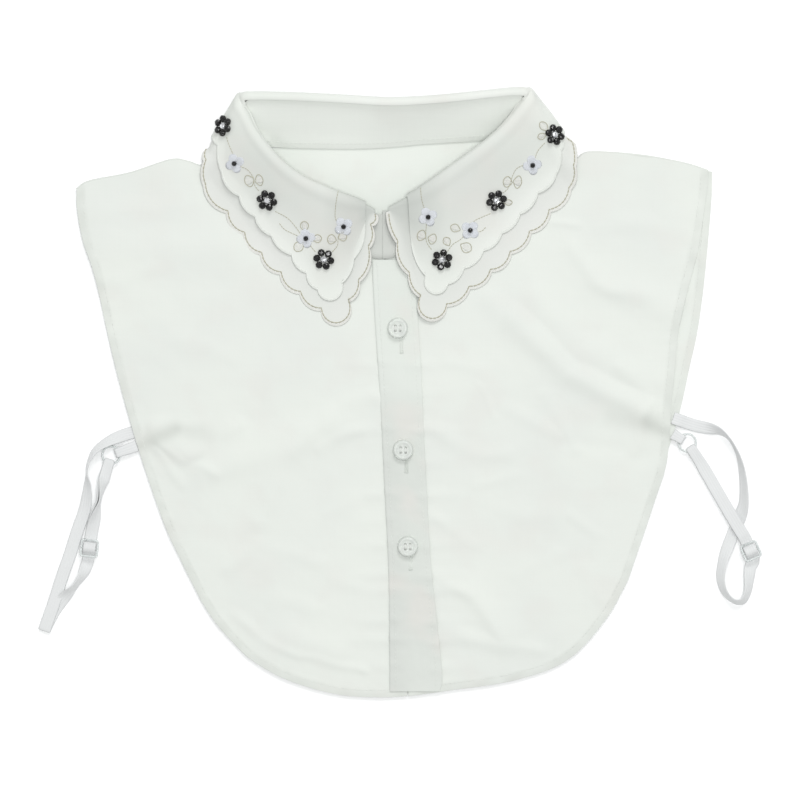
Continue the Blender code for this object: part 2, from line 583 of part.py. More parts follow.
def collar_stand(group):
    tables = ((RIGHT_LEAF, False), (BACK_LEAF, True), (LEFT_LEAF[::-1], False))
    listed = [(section, behind) for table, behind in tables for section in table]
    folds = np.array([section[0:2] for section, _ in listed], float)
    runs = np.gradient(folds, axis=0)
    runs /= np.linalg.norm(runs, axis=1)[:, None]
    rows = [stand_points(section, behind, along) for (section, behind), along in zip(listed, runs)]
    right_end, left_end = rows[0].copy(), rows[-1].copy()
    right_end[:, 0] = CENTRE_X - STAND_END_GAP
    left_end[:, 0] = CENTRE_X
    last_right, first_left = len(RIGHT_LEAF), len(RIGHT_LEAF) + len(BACK_LEAF)
    bulge = np.array(STAND_SHARES)[:, None]
    corner_right = (rows[last_right - 1] + rows[last_right]) / 2 + bulge * np.array([-1.6, 0.4, 0.0])
    corner_left = (rows[first_left - 1] + rows[first_left]) / 2 + bulge * np.array([1.4, 0.6, 0.0])
    sections = [right_end, *rows[:last_right], corner_right, *rows[last_right:first_left],
                corner_left, *rows[first_left:], left_end]
    points = [tuple(point) for section in sections for point in section]
    mesh = mesh_of("collar_stand", points, grid_faces(len(sections), len(rows[0])))
    thicken(add_object("collar_stand", mesh, "cotton", group), CLOTH, 0)


def button_profile():
    """Half of the button's section, from its axis: flat under, a raised rim and a dished middle."""
    dished = BUTTON_HEIGHT - 0.8
    points = [(0.0, 0.0), (BUTTON_RADIUS - 0.5, 0.0), (BUTTON_RADIUS, 0.9),
              (BUTTON_RADIUS - 0.6, BUTTON_HEIGHT), (BUTTON_RADIUS - 1.6, BUTTON_HEIGHT - 0.1),
              (BUTTON_RADIUS - 2.6, dished), (0.0, dished)]
    mesh = bpy.data.meshes.new("button_profile")
    mesh.from_pydata([(radius * METRES, 0.0, height * METRES) for radius, height in points],
                     [(index, index + 1) for index in range(len(points) - 1)], [])
    return mesh


def button_holes():
    holes = bmesh.new()
    for quarter in range(4):
        angle = math.radians(45 + 90 * quarter)
        place = Matrix.Translation(Vector((math.cos(angle), math.sin(angle), 0)) * HOLE_CIRCLE * METRES)
        bmesh.ops.create_cone(holes, cap_ends=True, segments=6, radius1=HOLE_RADIUS * METRES,
                              radius2=HOLE_RADIUS * METRES, depth=4 * BUTTON_HEIGHT * METRES,
                              matrix=place)
    mesh = bpy.data.meshes.new("button_holes")
    holes.to_mesh(mesh)
    holes.free()
    return mesh


def cutter_object(name, mesh, cutters):
    cutter = bpy.data.objects.new(name, mesh)
    cutter.hide_render = True
    cutter.display_type = "WIRE"
    cutters.objects.link(cutter)
    return cutter


def cut_with(thing, cutter, name):
    cut = thing.modifiers.new(name, "BOOLEAN")
    cut.operation = "DIFFERENCE"
    cut.object = cutter


def buttons(group, cutters):
    profile, hole_mesh = button_profile(), button_holes()
    for number, (x, y) in enumerate(BUTTONS, start=1):
        place = Vector((x, y, BUTTON_LOW)) * METRES
        button = add_object(f"button_{number}", profile.copy(), "button", group)
        button.location = place
        turned = button.modifiers.new("turned", "SCREW")
        turned.steps = 16
        turned.render_steps = 16
        turned.use_merge_vertices = True
        turned.merge_threshold = 0.0001
        cutter = cutter_object(f"button_holes_{number}", hole_mesh, cutters)
        cutter.location = place
        cut_with(button, cutter, "holes")


def flower_mesh(cutters):
    """Six faceted stones round a clear one, on a thin backing."""
    base = bmesh.new()
    bmesh.ops.create_cone(base, cap_ends=True, segments=12, radius1=BACKING_RADIUS * METRES,
                          radius2=BACKING_RADIUS * METRES, depth=0.6 * METRES,
                          matrix=Matrix.Translation((0, 0, 0.3 * METRES)))
    base_mesh = bpy.data.meshes.new("flower_backing")
    base.to_mesh(base_mesh)
    base.free()
    stones = bmesh.new()
    places = [(0.0, 0.0)]
    for sixth in range(6):
        angle = math.radians(60 * sixth)
        places.append((STONE_RING * math.cos(angle), STONE_RING * math.sin(angle)))
    for x, y in places:
        centre = Vector((x, y, 0.3 + STONE_HEIGHT / 2)) * METRES
        bmesh.ops.create_cone(stones, cap_ends=True, segments=6, radius1=(STONE_RADIUS - 0.06) * METRES,
                              radius2=0.55 * STONE_RADIUS * METRES, depth=STONE_HEIGHT * METRES,
                              matrix=Matrix.Translation(centre))
    stone_mesh = bpy.data.meshes.new("flower_stones")
    stones.to_mesh(stone_mesh)
    stones.free()
    backing = cutter_object("flower_backing", base_mesh, cutters)
    tool = cutter_object("flower_stones", stone_mesh, cutters)
    join = backing.modifiers.new("stones", "BOOLEAN")
    join.operation = "UNION"
    join.object = tool
    bpy.context.view_layer.update()
    graph = bpy.context.evaluated_depsgraph_get()
    mesh = bpy.data.meshes.new_from_object(backing.evaluated_get(graph))
    bpy.data.objects.remove(backing)
    bpy.data.objects.remove(tool)
    return mesh


def seat_height(skin, spot, facing, normal):
    """How far a flower is lifted so that the rim of its backing clears the curved cloth."""
    highest = 0.0
    for step in range(12):
        angle = math.radians(30 * step)
        rim = facing @ Vector((BACKING_RADIUS * math.cos(angle), BACKING_RADIUS * math.sin(angle), 0))
        start = spot + rim * METRES + normal * SEEK_HEIGHT * METRES
        hit = skin.ray_cast(start, -normal)[0]
        if hit is not None:
            highest = max(highest, (hit - spot).dot(normal))
    return highest + GAP * METRES


def stone_flowers(group, cutters, cloth):
    bpy.context.view_layer.update()
    graph = bpy.context.evaluated_depsgraph_get()
    skin = BVHTree.FromObject(cloth, graph)
    shape = flower_mesh(cutters)
    for number, (x, y, height, turn) in enumerate(FLOWERS, start=1):
        seek = Vector((x, y, height)) * METRES
        if height < 20:
            spot, normal, _, _ = skin.find_nearest(seek)
        else:
            spot, normal, _, _ = skin.ray_cast(seek, Vector((0, 0, -1)))
        flower = add_object(f"stone_flower_{number}", shape.copy(), "stone", group)
        facing = normal.to_track_quat("Z", "Y").to_matrix().to_4x4()
        lift = Matrix.Translation(spot + normal * seat_height(skin, spot, facing, normal))
        flower.matrix_world = lift @ facing @ Matrix.Rotation(math.radians(turn), 4, "Z")


def strip_frames(route, steps=2):
    """Middle, side direction and face direction along a strap, which rolls about its own line."""
    path = through(route, steps)
    frames = []
    for index, (x, y, height, roll) in enumerate(path):
        before, after = path[max(index - 1, 0)], path[min(index + 1, len(path) - 1)]
        heading = Vector((after[0] - before[0], after[1] - before[1], 0)).normalized()
        turn = math.radians(roll)
        across = Vector((-heading.y, heading.x, 0))
        side = across * math.cos(turn) + Vector((0, 0, math.sin(turn)))
        face = Vector((0, 0, math.cos(turn))) - across * math.sin(turn)
        place = Vector((x, y, height + STRAP_WIDTH / 2 * abs(math.sin(turn))))
        frames.append((place, side, face))
    return frames


def shifted(frames, distance):
    return [(place + face * distance, side, face) for place, side, face in frames]


def turn_back(place, toward, radius):
    """A half circle in the upright plane that holds the direction, from the upper to the lower run."""
    across = Vector((-toward.y, toward.x, 0))
    frames = []
    for step in range(1, 6):
        angle = math.radians(90 - 30 * step)
        out = toward * math.cos(angle) + Vector((0, 0, math.sin(angle)))
        frames.append((place + out * radius, across, out))
    return frames


def ribbon(name, frames, widths, group):
    """A flat closed strip lofted through its frames, each turned to agree with the one before."""
    points = []
    previous = frames[0][1]
    for (place, side, face), width in zip(frames, widths):
        if side.dot(previous) < 0:
            side, face = -side, -face
        previous = side
        for across, out in ((0.5, 0.5), (-0.5, 0.5), (-0.5, -0.5), (0.5, -0.5)):
            points.append(place + side * (width * across) + face * (STRAP_CLOTH * out))
    faces = [(3, 2, 1, 0)]
    for start in range(0, len(points) - 4, 4):
        for edge in range(4):
            following = (edge + 1) % 4
            faces.append((start + edge, start + following, start + 4 + following, start + 4 + edge))
    last = len(points) - 4
    faces.append((last, last + 1, last + 2, last + 3))
    mesh = mesh_of(name, points, faces)
    shape = bmesh.new()
    shape.from_mesh(mesh)
    bmesh.ops.recalc_face_normals(shape, faces=shape.faces)
    shape.to_mesh(mesh)
    shape.free()
    add_object(name, mesh, "elastic", group)


def ring_turn(ring, outward):
    """The strap's run over the ring, through it and back under it."""
    centre = Vector((ring[0], ring[1], 0.0))
    radius = RING_WIRE + GAP + STRAP_CLOTH / 2
    middle = STRAP_CLOTH / 2 + radius
    across = Vector((outward.y, -outward.x, 0))
    up = Vector((0, 0, 1))
    frames = [(centre + outward * (RING_RADIUS + 1.6) + up * (middle + radius), across, up),
              (centre + outward * (RING_RADIUS - 1.1) + up * (middle + radius), across, up)]
    frames += turn_back(centre + outward * (RING_RADIUS - 1.1) + up * middle, -outward, radius)
    frames += [(centre + outward * (RING_RADIUS - 1.1) + up * (middle - radius), across, -up),
               (centre + outward * (RING_RADIUS + 1.6) + up * (middle - radius), across, -up)]
    return frames


def slider_pass(slider, heading):
    """The long run rises over the slider's middle bar and comes down behind it."""
    across = Vector((-heading.y, heading.x, 0))
    frames = []
    for distance, height, tilt in SLIDER_PATH:
        angle = math.radians(tilt)
        face = Vector((0, 0, math.cos(angle))) + heading * math.sin(angle)
        frames.append((Vector((*slider, height)) + heading * distance, across, face))
    return frames


def narrowed(count, low, high, width, narrow):
    return [narrow if low <= index < high else width for index in range(count)]


def elastic(name, before, slider, double, ring, group):
    """The whole strap: long run, slider, upper run, ring, lower run, end under the slider."""
    slider_heading = Vector((double[0][0] - slider[0], double[0][1] - slider[1], 0)).normalized()
    ring_heading = Vector((double[-1][0] - ring[0], double[-1][1] - ring[1], 0)).normalized()
    runs = strip_frames(double)
    over = shifted(runs, STRAP_STEP / 2)
    under = [(place, side, -face) for place, side, face in shifted(runs, -STRAP_STEP / 2)][::-1]
    passing = slider_pass(slider, slider_heading)
    turning = ring_turn(ring, ring_heading)
    across = Vector((-slider_heading.y, slider_heading.x, 0))
    end = [(Vector((*slider, STRAP_CLOTH / 2)) + slider_heading * distance, across, Vector((0, 0, -1)))
           for distance in STRAP_END]
    frames = before + passing + over + turning + under + end
    start = len(before) + len(passing) + len(over)
    widths = narrowed(len(frames), start, start + len(turning), STRAP_WIDTH, RING_PASS)
    ribbon(name, frames, widths, group)


def fold_end(route):
    """The sharp fold at a strap's far end, from the run on top to the run on the table."""
    last, previous = route[-1], route[-2]
    heading = Vector((last[0] - previous[0], last[1] - previous[1], 0)).normalized()
    middle = Vector((last[0], last[1], last[2] - STRAP_STEP / 2))
    return turn_back(middle, heading, STRAP_STEP / 2)


def straps(group):
    right_before = strip_frames(RIGHT_LONG) + fold_end(RIGHT_LONG) + strip_frames(RIGHT_RETURN)
    elastic("strap_right", right_before, RIGHT_SLIDER, RIGHT_DOUBLE, RIGHT_RING, group)
    elastic("strap_left", strip_frames(LEFT_LONG), LEFT_SLIDER, LEFT_DOUBLE, LEFT_RING, group)


def ring(name, place, group):
    middle = STRAP_CLOTH + RING_WIRE + GAP
    bpy.ops.mesh.primitive_torus_add(major_segments=20, minor_segments=6,
                                     major_radius=RING_RADIUS * METRES,
                                     minor_radius=RING_WIRE * METRES)
    made = bpy.context.active_object
    made.name = name
    made.location = Vector((*place, middle)) * METRES
    made.data.materials.append(material("nylon"))
    for holder in list(made.users_collection):
        holder.objects.unlink(made)
    group.objects.link(made)


def block(size, place):
    shape = bmesh.new()
    bmesh.ops.create_cube(shape, size=1.0)
    for vertex in shape.verts:
        vertex.co = Vector((vertex.co.x * size[0], vertex.co.y * size[1], vertex.co.z * size[2]))
        vertex.co = (vertex.co + Vector(place)) * METRES
    mesh = bpy.data.meshes.new("block")
    shape.to_mesh(mesh)
    shape.free()
    return mesh


def slider(name, place, heading, group, cutters):
    """A flat frame with a middle bar: the two slots are cut through it."""
    turn = Matrix.Translation(Vector((*place, SLIDER_MIDDLE)) * METRES)
    turn = turn @ Matrix.Rotation(math.atan2(heading[1], heading[0]), 4, "Z")
    frame = add_object(name, block(SLIDER_SIZE, (0, 0, 0)), "nylon", group)
    frame.matrix_world = turn
    for side, along in (("a", -SLOT_PLACE), ("b", SLOT_PLACE)):
        cutter = cutter_object(f"{name}_slot_{side}", block(SLOT_SIZE, (along, 0, 0)), cutters)
        cutter.matrix_world = turn
        cut_with(frame, cutter, f"slot_{side}")


def ring_tab(name, route, place, group):
    """The short strip that holds the ring: it starts at the front's edge and wraps the ring."""
    start = Vector((*route[-1][:2], 0))
    outward = (start - Vector((*place, 0))).normalized()
    across = Vector((outward.y, -outward.x, 0))
    up = Vector((0, 0, 1))
    frames = [(Vector(point), across, up) for point in route]
    frames += ring_turn(place, outward)
    widths = [TAB_WIDTH if index < len(route) else RING_PASS for index in range(len(frames))]
    ribbon(name, frames, widths, group)


def heading_of(start, end):
    return (end[0] - start[0], end[1] - start[1])


def hardware(group, cutters):
    ring("ring_right", RIGHT_RING, group)
    ring("ring_left", LEFT_RING, group)
    ring_tab("ring_tab_right", RIGHT_TAB, RIGHT_RING, group)
    ring_tab("ring_tab_left", LEFT_TAB, LEFT_RING, group)
    slider("slider_right", RIGHT_SLIDER, heading_of(RIGHT_SLIDER, RIGHT_DOUBLE[0]), group, cutters)
    slider("slider_left", LEFT_SLIDER, heading_of(LEFT_SLIDER, LEFT_DOUBLE[0]), group, cutters)


def main():
    clear_scene()
    collar = new_collection("lace_collar")
    cutters = new_collection("cutters", hidden=True)
    back_panel(collar)
    fronts(collar)
    placket(collar)
    collar_stand(collar)
    scalloped_leaf("collar_under", False, collar)
    overlay = scalloped_leaf("collar_upper", True, collar)
    buttons(collar, cutters)
    stone_flowers(collar, cutters, overlay)
    straps(collar)
    hardware(collar, cutters)


main()
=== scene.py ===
"""The looks of a detachable shirt collar laid flat: thin cotton, a scalloped two-layer leaf with
thread work and stone flowers, a button placket and elastic side straps.

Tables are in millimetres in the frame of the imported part, seen from above with +Y to the back of the
neck. They repeat the part's own cloth lines, so that each thin shell lies in the middle of its solid.
"""

import math

import bmesh
import bpy
import numpy as np
from mathutils import Matrix, Vector, noise
from mathutils.bvhtree import BVHTree


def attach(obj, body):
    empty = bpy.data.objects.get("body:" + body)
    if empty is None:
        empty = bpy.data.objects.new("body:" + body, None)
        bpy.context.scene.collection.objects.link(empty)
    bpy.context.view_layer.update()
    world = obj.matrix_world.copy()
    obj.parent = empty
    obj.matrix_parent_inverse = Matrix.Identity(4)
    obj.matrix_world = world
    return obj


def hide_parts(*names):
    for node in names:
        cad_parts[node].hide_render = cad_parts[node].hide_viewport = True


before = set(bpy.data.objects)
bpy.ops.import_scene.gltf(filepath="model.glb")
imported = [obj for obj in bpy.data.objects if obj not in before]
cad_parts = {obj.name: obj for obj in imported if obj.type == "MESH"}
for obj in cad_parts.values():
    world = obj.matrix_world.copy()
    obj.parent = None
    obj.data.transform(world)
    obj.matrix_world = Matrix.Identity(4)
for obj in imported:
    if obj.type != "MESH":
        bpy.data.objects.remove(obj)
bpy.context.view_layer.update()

METRES = 0.001

# Heights of the middle of each cloth, from the table up, and the thickness of its shell
BACK_MIDDLE = 0.5
FRONT_MIDDLE = 1.8
PLACKET_MIDDLE = 2.9
SHELL = 0.45
PLACKET_SHELL = 0.4
STAND_SHELL = 0.8
LEAF_SHELL = 0.5

# The collar's build, as in the solids
CLOTH = 1.0
LEAF_STEP = 1.5
FOLD_RADIUS = 1.6
FOLD_INSET = LEAF_STEP + CLOTH / 2
LEAF_REST = 3.1
TUCK_HEIGHT = CLOTH / 2 + LEAF_STEP
EDGE_MARGIN = 2.0
SEAM_LENGTH = 1.0
INNER_LINE = 4.5
FALL_POWER = 1.25
CREASE_REACH = 3.0
UPPER_SCALLOP = 0.72
UPPER_LET_DOWN = 0.9

HEM_WIDTH = 4.6
HEM_STITCH = 3.9

# Machine stitches, and the satin stitches of the scalloped edges
STITCH_LENGTH = 2.1
STITCH_RADIUS = 0.15
SATIN_PITCH = 0.38
SATIN_RADIUS = 0.2
UP = np.array([0.0, 0.0, 1.0])

# Panel outlines: x, y
SHOULDER_RIGHT = [(-182.6, 115.5), (-175.2, 120.1), (-152.4, 124.7), (-129.6, 132.1), (-120.0, 131.4),
                  (-113.0, 128.9), (-105.0, 127.2), (-97.0, 128.4), (-87.0, 133.5), (-80.5, 138.8)]
SHOULDER_LEFT = [(66.8, 146.6), (76.0, 142.6), (87.0, 136.0), (95.0, 132.2), (102.5, 133.0),
                 (110.0, 136.6), (137.7, 134.9), (162.8, 130.4), (177.0, 126.0)]
SIDE_RIGHT = [(-182.6, 115.5), (-182.4, 105.0), (-179.2, 87.0), (-171.8, 64.2), (-161.5, 18.6),
              (-149.0, -27.0), (-133.6, -72.6), (-123.3, -95.4), (-111.9, -118.2)]
HEM_RIGHT = [(-111.9, -118.2), (-104.0, -130.5), (-94.8, -141.0), (-82.9, -152.4), (-62.4, -163.8),
             (-35.0, -171.7), (-12.0, -173.5), (5.7, -172.8)]
SIDE_LEFT = [(177.0, 126.0), (175.9, 112.7), (171.3, 81.9), (165.6, 59.7), (160.3, 36.9),
             (158.1, 14.6), (155.8, -8.2), (153.6, -38.4), (146.8, -61.2), (131.4, -106.8)]
HEM_LEFT = [(131.4, -106.8), (118.3, -129.6), (96.7, -152.4), (67.0, -163.8), (30.6, -169.5),
            (12.9, -172.0), (6.3, -172.8)]
BACK_SIDE_RIGHT = [(-181.2, 114.5), (-181.0, 105.0), (-177.8, 87.0), (-170.4, 64.2), (-160.1, 18.6),
                   (-147.6, -27.0), (-132.3, -72.0), (-122.0, -95.0), (-110.8, -117.2)]
BACK_SIDE_LEFT = [(179.3, 125.8), (178.8, 108.1), (175.3, 67.7), (171.3, 36.9), (166.5, 14.6),
                  (160.6, -12.0), (152.0, -40.0), (145.4, -61.0), (130.0, -106.4)]
BACK_HEM = [(-110.8, -117.2), (-93.8, -140.0), (-82.0, -151.2), (-62.0, -162.5), (-35.0, -170.4),
            (-7.0, -172.2), (30.6, -168.3), (67.0, -162.6), (96.0, -151.4), (117.0, -129.0),
            (130.0, -106.4)]
BACK_NECK = [(-80.5, 138.8), (-69.8, 139.6), (-21.3, 138.9), (12.9, 141.6), (47.1, 143.6),
             (58.5, 145.3), (66.8, 146.6)]
CENTRE_X = -7.0
CENTRE_GAP = 0.6
NECK_OVERLAP = 1.2

# Main folds of the fronts: start x, start y, end x, end y, half width, height
FOLDS = [
    (52.0, 54.0, 70.0, 36.0, 6.5, 1.0),
    (66.0, 42.0, 99.0, 10.0, 7.5, 2.2),
    (99.0, 10.0, 141.0, -11.0, 7.0, 2.5),
    (78.0, 54.0, 106.0, 25.0, 9.0, 1.2),
    (106.0, 25.0, 148.0, 6.0, 9.0, 1.3),
    (112.0, 66.0, 156.0, 47.0, 9.0, 1.4),
    (42.0, -112.0, 62.0, -138.0, 8.0, 1.2),
    (-112.0, -46.0, -34.0, -20.0, 9.0, 1.3),
    (-162.0, 84.0, -96.0, 80.0, 13.0, 1.4),
    (-137.0, -24.0, -118.0, -34.0, 7.0, 1.5),
    (-60.0, -138.0, -36.0, -147.0, 7.0, 1.1),
]
# Small creases between them, the same columns; a trough has a height below nothing
CREASES = [
    (98.0, 82.0, 113.0, 63.0, 5.0, 1.0), (113.0, 63.0, 141.0, 52.0, 5.0, 0.9),
    (17.0, -20.5, 42.0, -32.0, 4.5, 0.8), (42.0, -32.0, 64.0, -35.0, 4.5, 0.7),
    (30.0, 19.0, 47.0, 13.5, 5.0, 0.55), (45.9, 4.4, 56.8, -15.6, 1.6, 0.4),
    (61.0, -68.0, 88.0, -69.0, 6.0, 0.6), (18.6, -70.0, 44.2, -84.3, 3.2, 0.55),
    (26.0, -109.0, 43.0, -115.0, 4.0, 0.9), (43.0, -115.0, 60.0, -141.0, 4.0, 0.8),
    (27.0, -137.0, 81.0, -149.5, 4.5, 0.9), (87.0, 96.0, 101.0, 96.0, 2.0, 0.6),
    (115.0, 97.0, 144.0, 94.0, 5.5, 0.7), (84.0, -2.0, 101.0, -34.0, 3.6, 0.5),
    (98.0, -70.0, 115.0, -82.0, 3.6, 0.5), (96.0, -30.0, 140.0, -36.0, 5.0, -0.4),
    (146.0, -8.0, 133.0, -34.0, 4.0, 0.9), (150.0, -12.0, 128.0, 14.0, 4.5, 0.7),
    (60.0, -8.0, 92.0, -26.0, 4.0, 0.55), (48.0, -52.0, 70.0, -48.0, 3.4, 0.4),
    (70.0, -104.0, 92.0, -92.0, 4.5, 0.5), (104.0, -100.0, 116.0, -122.0, 4.5, 0.5),
    (-170.0, 103.0, -120.0, 105.0, 8.0, 0.8), (-166.0, 66.0, -138.0, 68.0, 5.0, 0.5),
    (-118.0, -36.0, -91.0, -19.0, 4.5, 0.9), (-136.0, -30.0, -104.0, -47.0, 3.4, 0.8),
    (-138.0, -33.0, -122.0, -52.0, 3.0, 0.7), (-140.0, -20.0, -112.0, -17.0, 3.6, 0.7),
    (-77.0, -70.0, -62.0, -34.0, 7.0, 1.1), (-62.0, -34.0, -38.0, -12.0, 6.0, 1.1),
    (-38.0, -12.0, -13.0, -3.0, 5.0, 0.9), (-44.0, -30.0, -22.0, -20.0, 3.5, 0.7),
    (-91.0, -127.0, -75.5, -138.5, 3.4, 0.9), (-75.5, -138.5, -52.7, -148.7, 2.8, 0.9),
    (-52.7, -148.7, -18.5, -156.7, 2.4, 0.8), (-96.0, -100.0, -78.0, -86.0, 5.0, 0.6),
    (-66.0, -92.0, -44.0, -96.0, 4.5, 0.5), (-40.0, -68.0, -24.0, -62.0, 4.0, 0.5),
    (-84.0, -6.0, -60.0, 14.0, 7.0, 0.5), (-120.0, 30.0, -96.0, 20.0, 6.0, 0.5),
    (-70.0, -118.0, -46.0, -122.0, 5.0, 0.5), (-36.0, -104.0, -22.0, -110.0, 4.0, 0.5),
]
# Where a tab or strap end shows through the fronts, with painted shade of the creases pulled out from the
# strap's base, the columns of the folds, the last its share
SHOWN_THROUGH_AND_PAINTED_SHADE = [(-150.0, -31.5, -126.0, -21.0, 4.2, 0.75), (-126.0, -21.0, -108.0, -25.0, 5.0, 0.3),
                 (158.0, -24.5, 141.0, -17.0, 4.6, 0.8), (141.0, -17.0, 122.0, -14.0, 5.5, 0.35)]
# Where the placket's edge is drawn in by its stitching: y, reach to each side, height
PUCKERS = [(15.8, 17, 0.45), (-1.0, 12, 0.25), (-21.3, 20, 0.5), (-40.0, 12, 0.3), (-58.3, 18, 0.5),
           (-73.0, 11, 0.3), (-86.8, 16, 0.45), (-103.9, 20, 0.5), (-112.5, 14, 0.45),
           (-129.6, 18, 0.5), (-141.0, 20, 0.55), (-156.0, 14, 0.4)]

# Collar sections: fold x, y, z, neck x, y, edge x, y, z, upper edge x, y, length of the fall, scallop
RIGHT_LEAF = [
    (-12.8, 106.1, 8.2, -12.2, 76.8, -13.0, 101.5, 7.4, None, None, 40, 1.8),
    (-15.5, 107.8, 8.6, -17.0, 77.5, -16.2, 95.0, 4.6, None, None, 40, 2.2),
    (-18.5, 109.2, 9.2, -22.0, 78.4, -17.7, 82.3, 4.6, -18.8, 94.5, 40, 3.2),
    (-24.0, 111.5, 10.0, -28.0, 80.0, -23.3, 63.4, 4.2, -24.6, 76.0, 42, 2.4),
    (-29.0, 113.2, 10.8, -34.0, 82.0, -28.8, 52.8, 3.4, -31.5, 62.0, 42, 11.0),
    (-36.0, 115.8, 11.6, -41.0, 85.0, -43.1, 48.3, 3.1, -45.5, 58.5, 43, 2.8),
    (-43.0, 118.6, 12.4, -48.0, 88.5, -54.4, 57.4, 3.1, -51.8, 68.0, 43, 3.0),
    (-50.4, 121.8, 13.2, -55.5, 93.0, -65.5, 68.5, 3.1, -60.1, 78.3, 43, 3.0),
    (-57.5, 126.2, 14.0, -63.0, 98.5, -76.7, 79.7, 3.1, -71.7, 89.2, 42, 2.8),
    (-64.5, 131.8, 14.6, -70.5, 105.5, -86.4, 91.1, 3.1, -81.0, 100.3, 41, 2.8),
    (-71.5, 139.0, 15.0, -77.0, 114.0, -96.0, 103.3, 3.1, -89.9, 111.9, 40, 3.4),
    (-80.0, 150.5, 14.8, -80.6, 126.0, -108.8, 118.4, 3.3, -100.0, 125.5, 40, 1.6),
    (-86.8, 163.0, 14.2, -80.6, 137.0, -108.2, 131.4, 5.2, -102.0, 140.6, 37, 1.0),
]
LEFT_LEAF = [
    (-4.6, 107.6, 8.2, -4.6, 76.8, -4.6, 103.0, 7.4, None, None, 40, 1.6),
    (0.5, 110.3, 8.8, 1.5, 79.0, 1.5, 85.3, 5.2, None, None, 40, 3.0),
    (6.0, 113.4, 9.4, 9.0, 83.2, 8.1, 67.5, 4.9, 8.4, 83.5, 42, 2.2),
    (11.5, 116.5, 10.2, 15.0, 87.2, 14.2, 55.3, 4.7, 16.0, 66.0, 42, 11.0),
    (18.5, 121.2, 11.0, 22.5, 92.0, 27.9, 50.7, 3.3, 28.6, 61.5, 43, 2.8),
    (26.0, 126.3, 11.8, 30.0, 97.2, 40.2, 60.4, 3.1, 37.9, 70.5, 43, 3.0),
    (33.5, 131.6, 12.6, 37.5, 103.0, 52.4, 70.1, 3.1, 49.1, 80.6, 43, 3.0),
    (41.0, 137.0, 13.4, 45.0, 109.5, 63.6, 80.2, 3.1, 59.5, 90.5, 43, 2.8),
    (49.0, 143.0, 14.2, 53.0, 116.7, 74.8, 91.9, 3.1, 69.9, 101.5, 42, 3.0),
    (57.0, 149.8, 14.8, 60.0, 124.6, 86.0, 104.1, 3.1, 80.0, 113.5, 41, 3.0),
    (64.5, 158.0, 15.0, 66.0, 133.5, 97.2, 116.3, 3.2, 90.6, 124.6, 40, 1.8),
    (71.5, 167.0, 14.6, 67.6, 143.0, 99.6, 128.5, 5.0, 93.1, 137.4, 38, 1.0),
]
BACK_LEAF = [
    (-87.0, 170.6, 14.6, -78.5, 141.2, -108.2, 135.6, TUCK_HEIGHT, -102.5, 145.0, 30, 1.5),
    (-80.0, 171.0, 15.2, -73.0, 140.6, -94.0, 142.4, TUCK_HEIGHT, -88.0, 151.5, 30, 1.6),
    (-68.0, 170.8, 16.0, -63.0, 139.9, -74.0, 146.6, TUCK_HEIGHT, -71.0, 156.0, 30, 1.8),
    (-47.0, 170.0, 17.0, -44.0, 139.4, -50.0, 146.4, TUCK_HEIGHT, -49.0, 156.0, 30, 1.8),
    (-26.0, 168.8, 17.6, -24.0, 139.3, -27.0, 145.8, TUCK_HEIGHT, -26.5, 155.5, 30, 1.8),
    (-5.0, 167.6, 18.0, -4.0, 140.2, -5.0, 146.6, TUCK_HEIGHT, -5.0, 155.5, 30, 1.8),
    (15.0, 168.4, 17.8, 13.0, 141.8, 17.0, 148.2, TUCK_HEIGHT, 16.0, 156.5, 30, 1.8),
    (36.0, 170.2, 17.2, 31.0, 142.9, 39.0, 149.6, TUCK_HEIGHT, 38.0, 158.0, 30, 1.8),
    (56.0, 172.4, 16.2, 49.0, 144.2, 60.0, 151.2, TUCK_HEIGHT, 58.0, 160.5, 30, 1.8),
    (67.0, 173.4, 15.4, 60.0, 146.0, 78.5, 151.2, TUCK_HEIGHT, 73.0, 160.0, 30, 1.6),
    (72.4, 173.2, 14.8, 66.2, 147.8, 99.6, 140.6, TUCK_HEIGHT, 92.8, 148.6, 30, 1.5),
]

# Placket edges: y, left x, right x
PLACKET = [(75.6, -14.4, 10.2), (66.5, -14.0, 10.4), (40.0, -12.6, 11.8), (11.2, -10.6, 13.5),
           (-20.0, -8.8, 14.9), (-54.6, -7.2, 16.6), (-98.6, -5.0, 19.2), (-130.0, -4.5, 22.4),
           (-160.1, -4.4, 25.4), (-170.0, -4.3, 24.4)]
BUTTONS = [(0.2, 36.6), (3.3, -32.7), (5.9, -87.6)]
BUTTONHOLES = [(2.4, 29.8), (5.2, -38.2), (7.6, -93.6)]
BUTTON_LOW = 3.9
BUTTONHOLE_HALF = 6.6
BUTTONHOLE_THREAD = 0.11
HOLE_CIRCLE = 1.9
HOLE_RADIUS = 0.8

# Stone flowers: x, y, height of the point that the nearest cloth is sought from, turn in degrees
FLOWERS = [(-100.5, 151.8, 12.0, 10), (-73.8, 109.3, 30.0, 25), (-41.8, 75.9, 30.0, 5),
           (89.0, 146.4, 30.0, 15), (56.2, 109.3, 30.0, 40), (25.3, 75.6, 30.0, 20)]
STONE_RADIUS = 2.0
STONE_RING = 4.1
STONE_HEIGHT = 1.7
BACKING_RADIUS = STONE_RING + 0.9

# Petals and beads of the satin flowers
PETAL_MIDDLE = 3.0
PETAL_HALF_LENGTH = 2.5
PETAL_HALF_WIDTH = 2.35
BEAD_RADIUS = 1.55
# Satin flowers: x, y, turn in degrees of the first petal
SATIN_FLOWERS = [(-92.2, 130.2, 20), (-51.9, 87.8, 10), (-30.5, 94.4, 35),
                 (17.3, 99.8, 25), (41.4, 92.4, 50), (76.6, 129.3, 10)]
